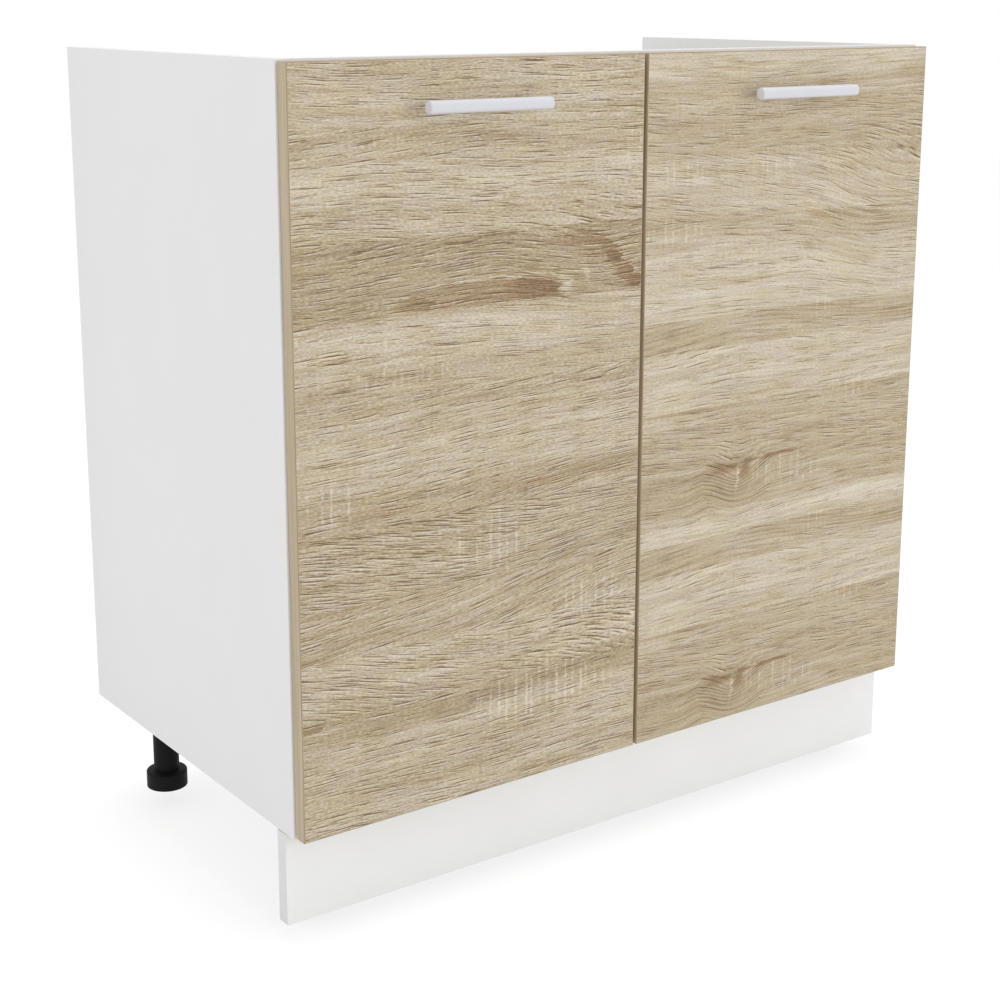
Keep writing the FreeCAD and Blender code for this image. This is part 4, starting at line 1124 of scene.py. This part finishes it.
RIGHT_OAK = OakDecor(
    name="pressed_oak_decor_right",
    left_edge=0.002,
    top_edge=0.813,
    seed=11.0,
    repeat_mm=237.0,
    repeat_from_mm=503.0,
    bands=(
        (0, 203), (22, 201), (30, 188), (42, 190), (60, 188), (88, 183), (104, 191),
        (130, 197), (158, 195), (170, 186), (184, 193), (205, 199), (232, 202), (258, 203),
        (268, 198), (284, 195), (296, 198), (303, 199), (356, 199), (366, 199), (385, 200),
        (410, 197), (424, 196), (434, 192), (450, 196), (470, 197), (482, 199), (488, 204),
        (503, 202),
    ),
    boards=(
        Board(0, 0, 0.0, 0.2, 0.2), Board(30, 0, 0.0, 0.3, 0.3), Board(42, 0, 0.06, 0.0, 0.5),
        Board(96, 0, 0.14, 0.0, 0.45), Board(166, -3, 0.0, 0.3, 0.3),
        Board(196, 0, 0.05, 0.0, 0.4), Board(266, -10, 0.0, 0.5, 0.3),
        Board(301, 0, 0.0, 0.0, 0.4), Board(362, -11, 0.0, 0.3, 0.4),
        Board(380, -13, 0.06, 0.0, 0.6), Board(425, -12, 0.0, 0.25, 0.4),
        Board(476, 0, -0.05, 0.0, 0.3),
    ),
    swirls=(
        Swirl(Patch(400, 190, 195, 130), -22, 0.7, rings=0.45),
        Swirl(Patch(400, 60, 160, 80), 10, 0.9, rings=0.45),
        Swirl(Patch(134, 444, 50, 44), -22, fade=Fade.POINTED, rings=1.0),
        Swirl(Patch(96, 462, 40, 44), 8, rings=0.6),
        Swirl(Patch(110, 282, 170, 60), 10, rings=0.1),
    ),
    hearts=(
        Patch(110, 432, 26, 8, 1.7, 8, 0.8), Patch(146, 437, 20, 7, 1.7, -30, 0.7),
        Patch(178, 428, 56, 4, 1.4, -3, 0.8), Patch(304, 364, 26, 5, 0.5, 0, 0.5),
        Patch(232, 170, 26, 5, 0.5, 20, 0.5),
    ),
    gleams=(Patch(134, 446, 2.4, 21, 1.1, 4), Patch(300, 490, 110, 8, 0.3, -3)),
    saw_marks=(
        Patch(45, 118, 44, 16, 0.6), Patch(172, 118, 40, 18, 0.6), Patch(38, 176, 44, 14, 0.7),
        Patch(205, 446, 60, 20, 0.9), Patch(300, 366, 36, 12, 0.8), Patch(250, 268, 24, 14, 0.6),
    ),
)


@dataclass
class Door:
    """A door: slab with decor faces, taped edges, bar handle and two bumpers."""

    side: Side
    decor: OakDecor
    tape: float = 1.0 * MM
    tape_round: float = 0.8 * MM
    tape_round_steps: int = 5
    handle_crease_deg: float = 50.0

    @property
    def body(self) -> str:
        """The CAD body that the door's pieces ride on."""
        return f"door_{self.side.value}"

    def build(self) -> None:
        """Builds and dresses every piece."""
        side = self.side.value
        dress([f"door_panel_{side}"], self.decor.material())
        self.add_tape()
        self.add_handle()
        dress([f"handle_screws_{side}"], ZINC_STEEL.material())
        dress([f"door_bumpers_{side}"], POLYURETHANE.material())

    def tape_section(self, thickness: float) -> list[Pair]:
        """Draws the tape's section, from its front inner edge round the outside to the back.

        Args:
            thickness: The door's thickness.

        Returns:
            How far inward and how deep each corner of the section lies.
        """
        section = [(self.tape, 0.0)]
        reach = self.tape_round
        for turn in range(self.tape_round_steps + 1):
            angle = math.radians(90 * turn / self.tape_round_steps)
            section.append((reach - reach * math.sin(angle), reach - reach * math.cos(angle)))
        return section + [(inward, thickness - deep) for inward, deep in reversed(section)]

    def add_tape(self) -> None:
        """Adds the edge tape as one closed ring with rounded outer edges."""
        node = f"door_edge_bands_{self.side.value}"
        low, high = box_of(node)
        mesh = bmesh.new()
        rings = []
        for inward, deep in self.tape_section(high.y - low.y):
            y = low.y + deep
            rings.append([mesh.verts.new(corner) for corner in (
                (low.x + inward, y, low.z + inward), (high.x - inward, y, low.z + inward),
                (high.x - inward, y, high.z - inward), (low.x + inward, y, high.z - inward),
            )])
        for ring, following in zip(rings, rings[1:] + rings[:1]):
            for corner in range(4):
                nearby = (corner + 1) % 4
                mesh.faces.new((ring[corner], ring[nearby], following[nearby],
                                following[corner]))
        bmesh.ops.recalc_face_normals(mesh, faces=mesh.faces)
        shade(mesh)
        piece = new_piece(mesh, f"door_tape_{self.side.value}", self.body, Slot.OAK_EDGE_BAND,
                          node, OAK_TAPE.material(), TAPE_ROUNDING_PAINTED_DARKER.material())
        for face in piece.data.polygons:
            # The rounding looks neither straight out nor straight ahead
            if 0.2 < abs(face.normal.y) < 0.99:
                # The rounding takes the darker tan, painted shade along the door's edges
                face.material_index = 1

    def add_handle(self) -> None:
        """Adds the bar handle with smooth round ends."""
        node = f"handle_{self.side.value}"
        mesh = welded(node)
        shade(mesh, self.handle_crease_deg)
        new_piece(mesh, f"bar_{node}", self.body, Slot.HANDLE_WHITE, node,
                  WHITE_ENAMEL.material())


@dataclass
class Hinges:
    """Four concealed hinges, whose pieces keep their CAD shapes."""

    def build(self) -> None:
        """Dresses every piece."""
        dress(nodes_like("hinge_", "outer_link", "inner_link", "cup_"), NICKEL_STEEL.material())


@dataclass(frozen=True)
class Softbox:
    """A square lamp that looks at the cabinet's middle."""

    name: str
    place: tuple[float, float, float]
    side_length: float
    watts: float


@dataclass
class Studio:
    """Floor, white surroundings, soft lamps and the camera."""

    sky_level: float = 0.72
    # The camera sees the floor as grey under the lamps, with a glow that brings it to white
    floor_glow: float = 0.74
    floor_size: float = 14.0
    # The floor lies just under a foot that is screwed out to its limit
    floor_drop: float = 20.2 * MM
    lamps: tuple[Softbox, ...] = (
        Softbox("key_softbox", (1.0, -3.6, 1.0), 1.9, 28.0),
        Softbox("side_softbox", (-3.6, -0.8, 1.2), 2.2, 18.5),
        Softbox("top_softbox", (0.2, 0.4, 3.6), 2.2, 32.0),
    )
    lamp_aim: tuple[float, float, float] = (0.0, 0.0, 0.42)
    camera_place: tuple[float, float, float] = (-1.1604, -1.5898, 0.868)
    camera_turn_deg: float = 35.424
    camera_dip_deg: float = 12.567
    camera_lens: float = 65.43
    camera_shift: Pair = (0.0086, -0.1)

    def build(self) -> None:
        """Builds the stage, and shows colours as they are written."""
        bpy.context.scene.view_settings.view_transform = "Standard"
        self.add_sky()
        self.add_floor()
        for lamp in self.lamps:
            self.add_lamp(lamp)
        self.add_camera()

    def add_sky(self) -> None:
        """Lights the scene evenly, and looks plain white itself."""
        graph = Graph(bpy.data.worlds.new("white_surroundings"))
        level = graph.add("MapRange", graph.seen_plainly(), 0.0, 1.0, self.sky_level, 1.0)
        graph.add("OutputWorld", graph.add("Background", WHITE, level))
        bpy.context.scene.world = graph.owner

    def add_floor(self) -> None:
        """Adds the pale floor, which shows only the soft shadow."""
        mesh = bmesh.new()
        bmesh.ops.create_grid(mesh, x_segments=1, y_segments=1, size=self.floor_size / 2)
        bmesh.ops.translate(mesh, verts=mesh.verts, vec=(0.0, 0.0, -self.floor_drop))
        floor = linked("floor", to_mesh(mesh, "floor"))
        graph = Graph(bpy.data.materials.new("white_studio_floor"))
        lit = graph.add("BsdfDiffuse", linear("ececec"))
        pale = graph.add("AddShader", graph.add("BsdfDiffuse", linear("a0a0a0")),
                         graph.add("Emission", WHITE, self.floor_glow))
        graph.add("OutputMaterial", graph.add("MixShader", graph.seen_plainly(), lit, pale))
        floor.data.materials.append(graph.owner)

    def add_lamp(self, box: Softbox) -> None:
        """Adds a softbox that neither shows nor mirrors itself.

        Args:
            box: The softbox.
        """
        lamp = bpy.data.lights.new(box.name, "AREA")
        lamp.size = box.side_length
        lamp.energy = box.watts
        holder = linked(box.name, lamp)
        holder.location = box.place
        aim = Vector(self.lamp_aim) - Vector(box.place)
        holder.rotation_euler = aim.to_track_quat("-Z", "Y").to_euler()
        holder.visible_camera = False
        holder.visible_glossy = False

    def add_camera(self) -> None:
        """Adds the camera at the photograph's viewing angle."""
        lens = bpy.data.cameras.new("camera")
        lens.lens = self.camera_lens
        lens.sensor_width = 36.0
        lens.shift_x, lens.shift_y = self.camera_shift
        camera = linked("camera", lens)
        camera.location = self.camera_place
        camera.rotation_euler = Euler((math.radians(90 - self.camera_dip_deg), 0.0,
                                       math.radians(-self.camera_turn_deg)))
        bpy.context.scene.camera = camera


def main() -> None:
    """Builds the cabinet's sub-assemblies and the stage, and logs each as it is built."""
    logging.basicConfig(level=logging.INFO, format="%(name)s: %(message)s")
    for assembly in (Carcass(), Legs(), Plinth(), Door(Side.LEFT, LEFT_OAK),
                     Door(Side.RIGHT, RIGHT_OAK), Hinges(), Studio()):
        assembly.build()
        log.info("%s built", type(assembly).__name__)


if __name__ == "__main__":
    main()
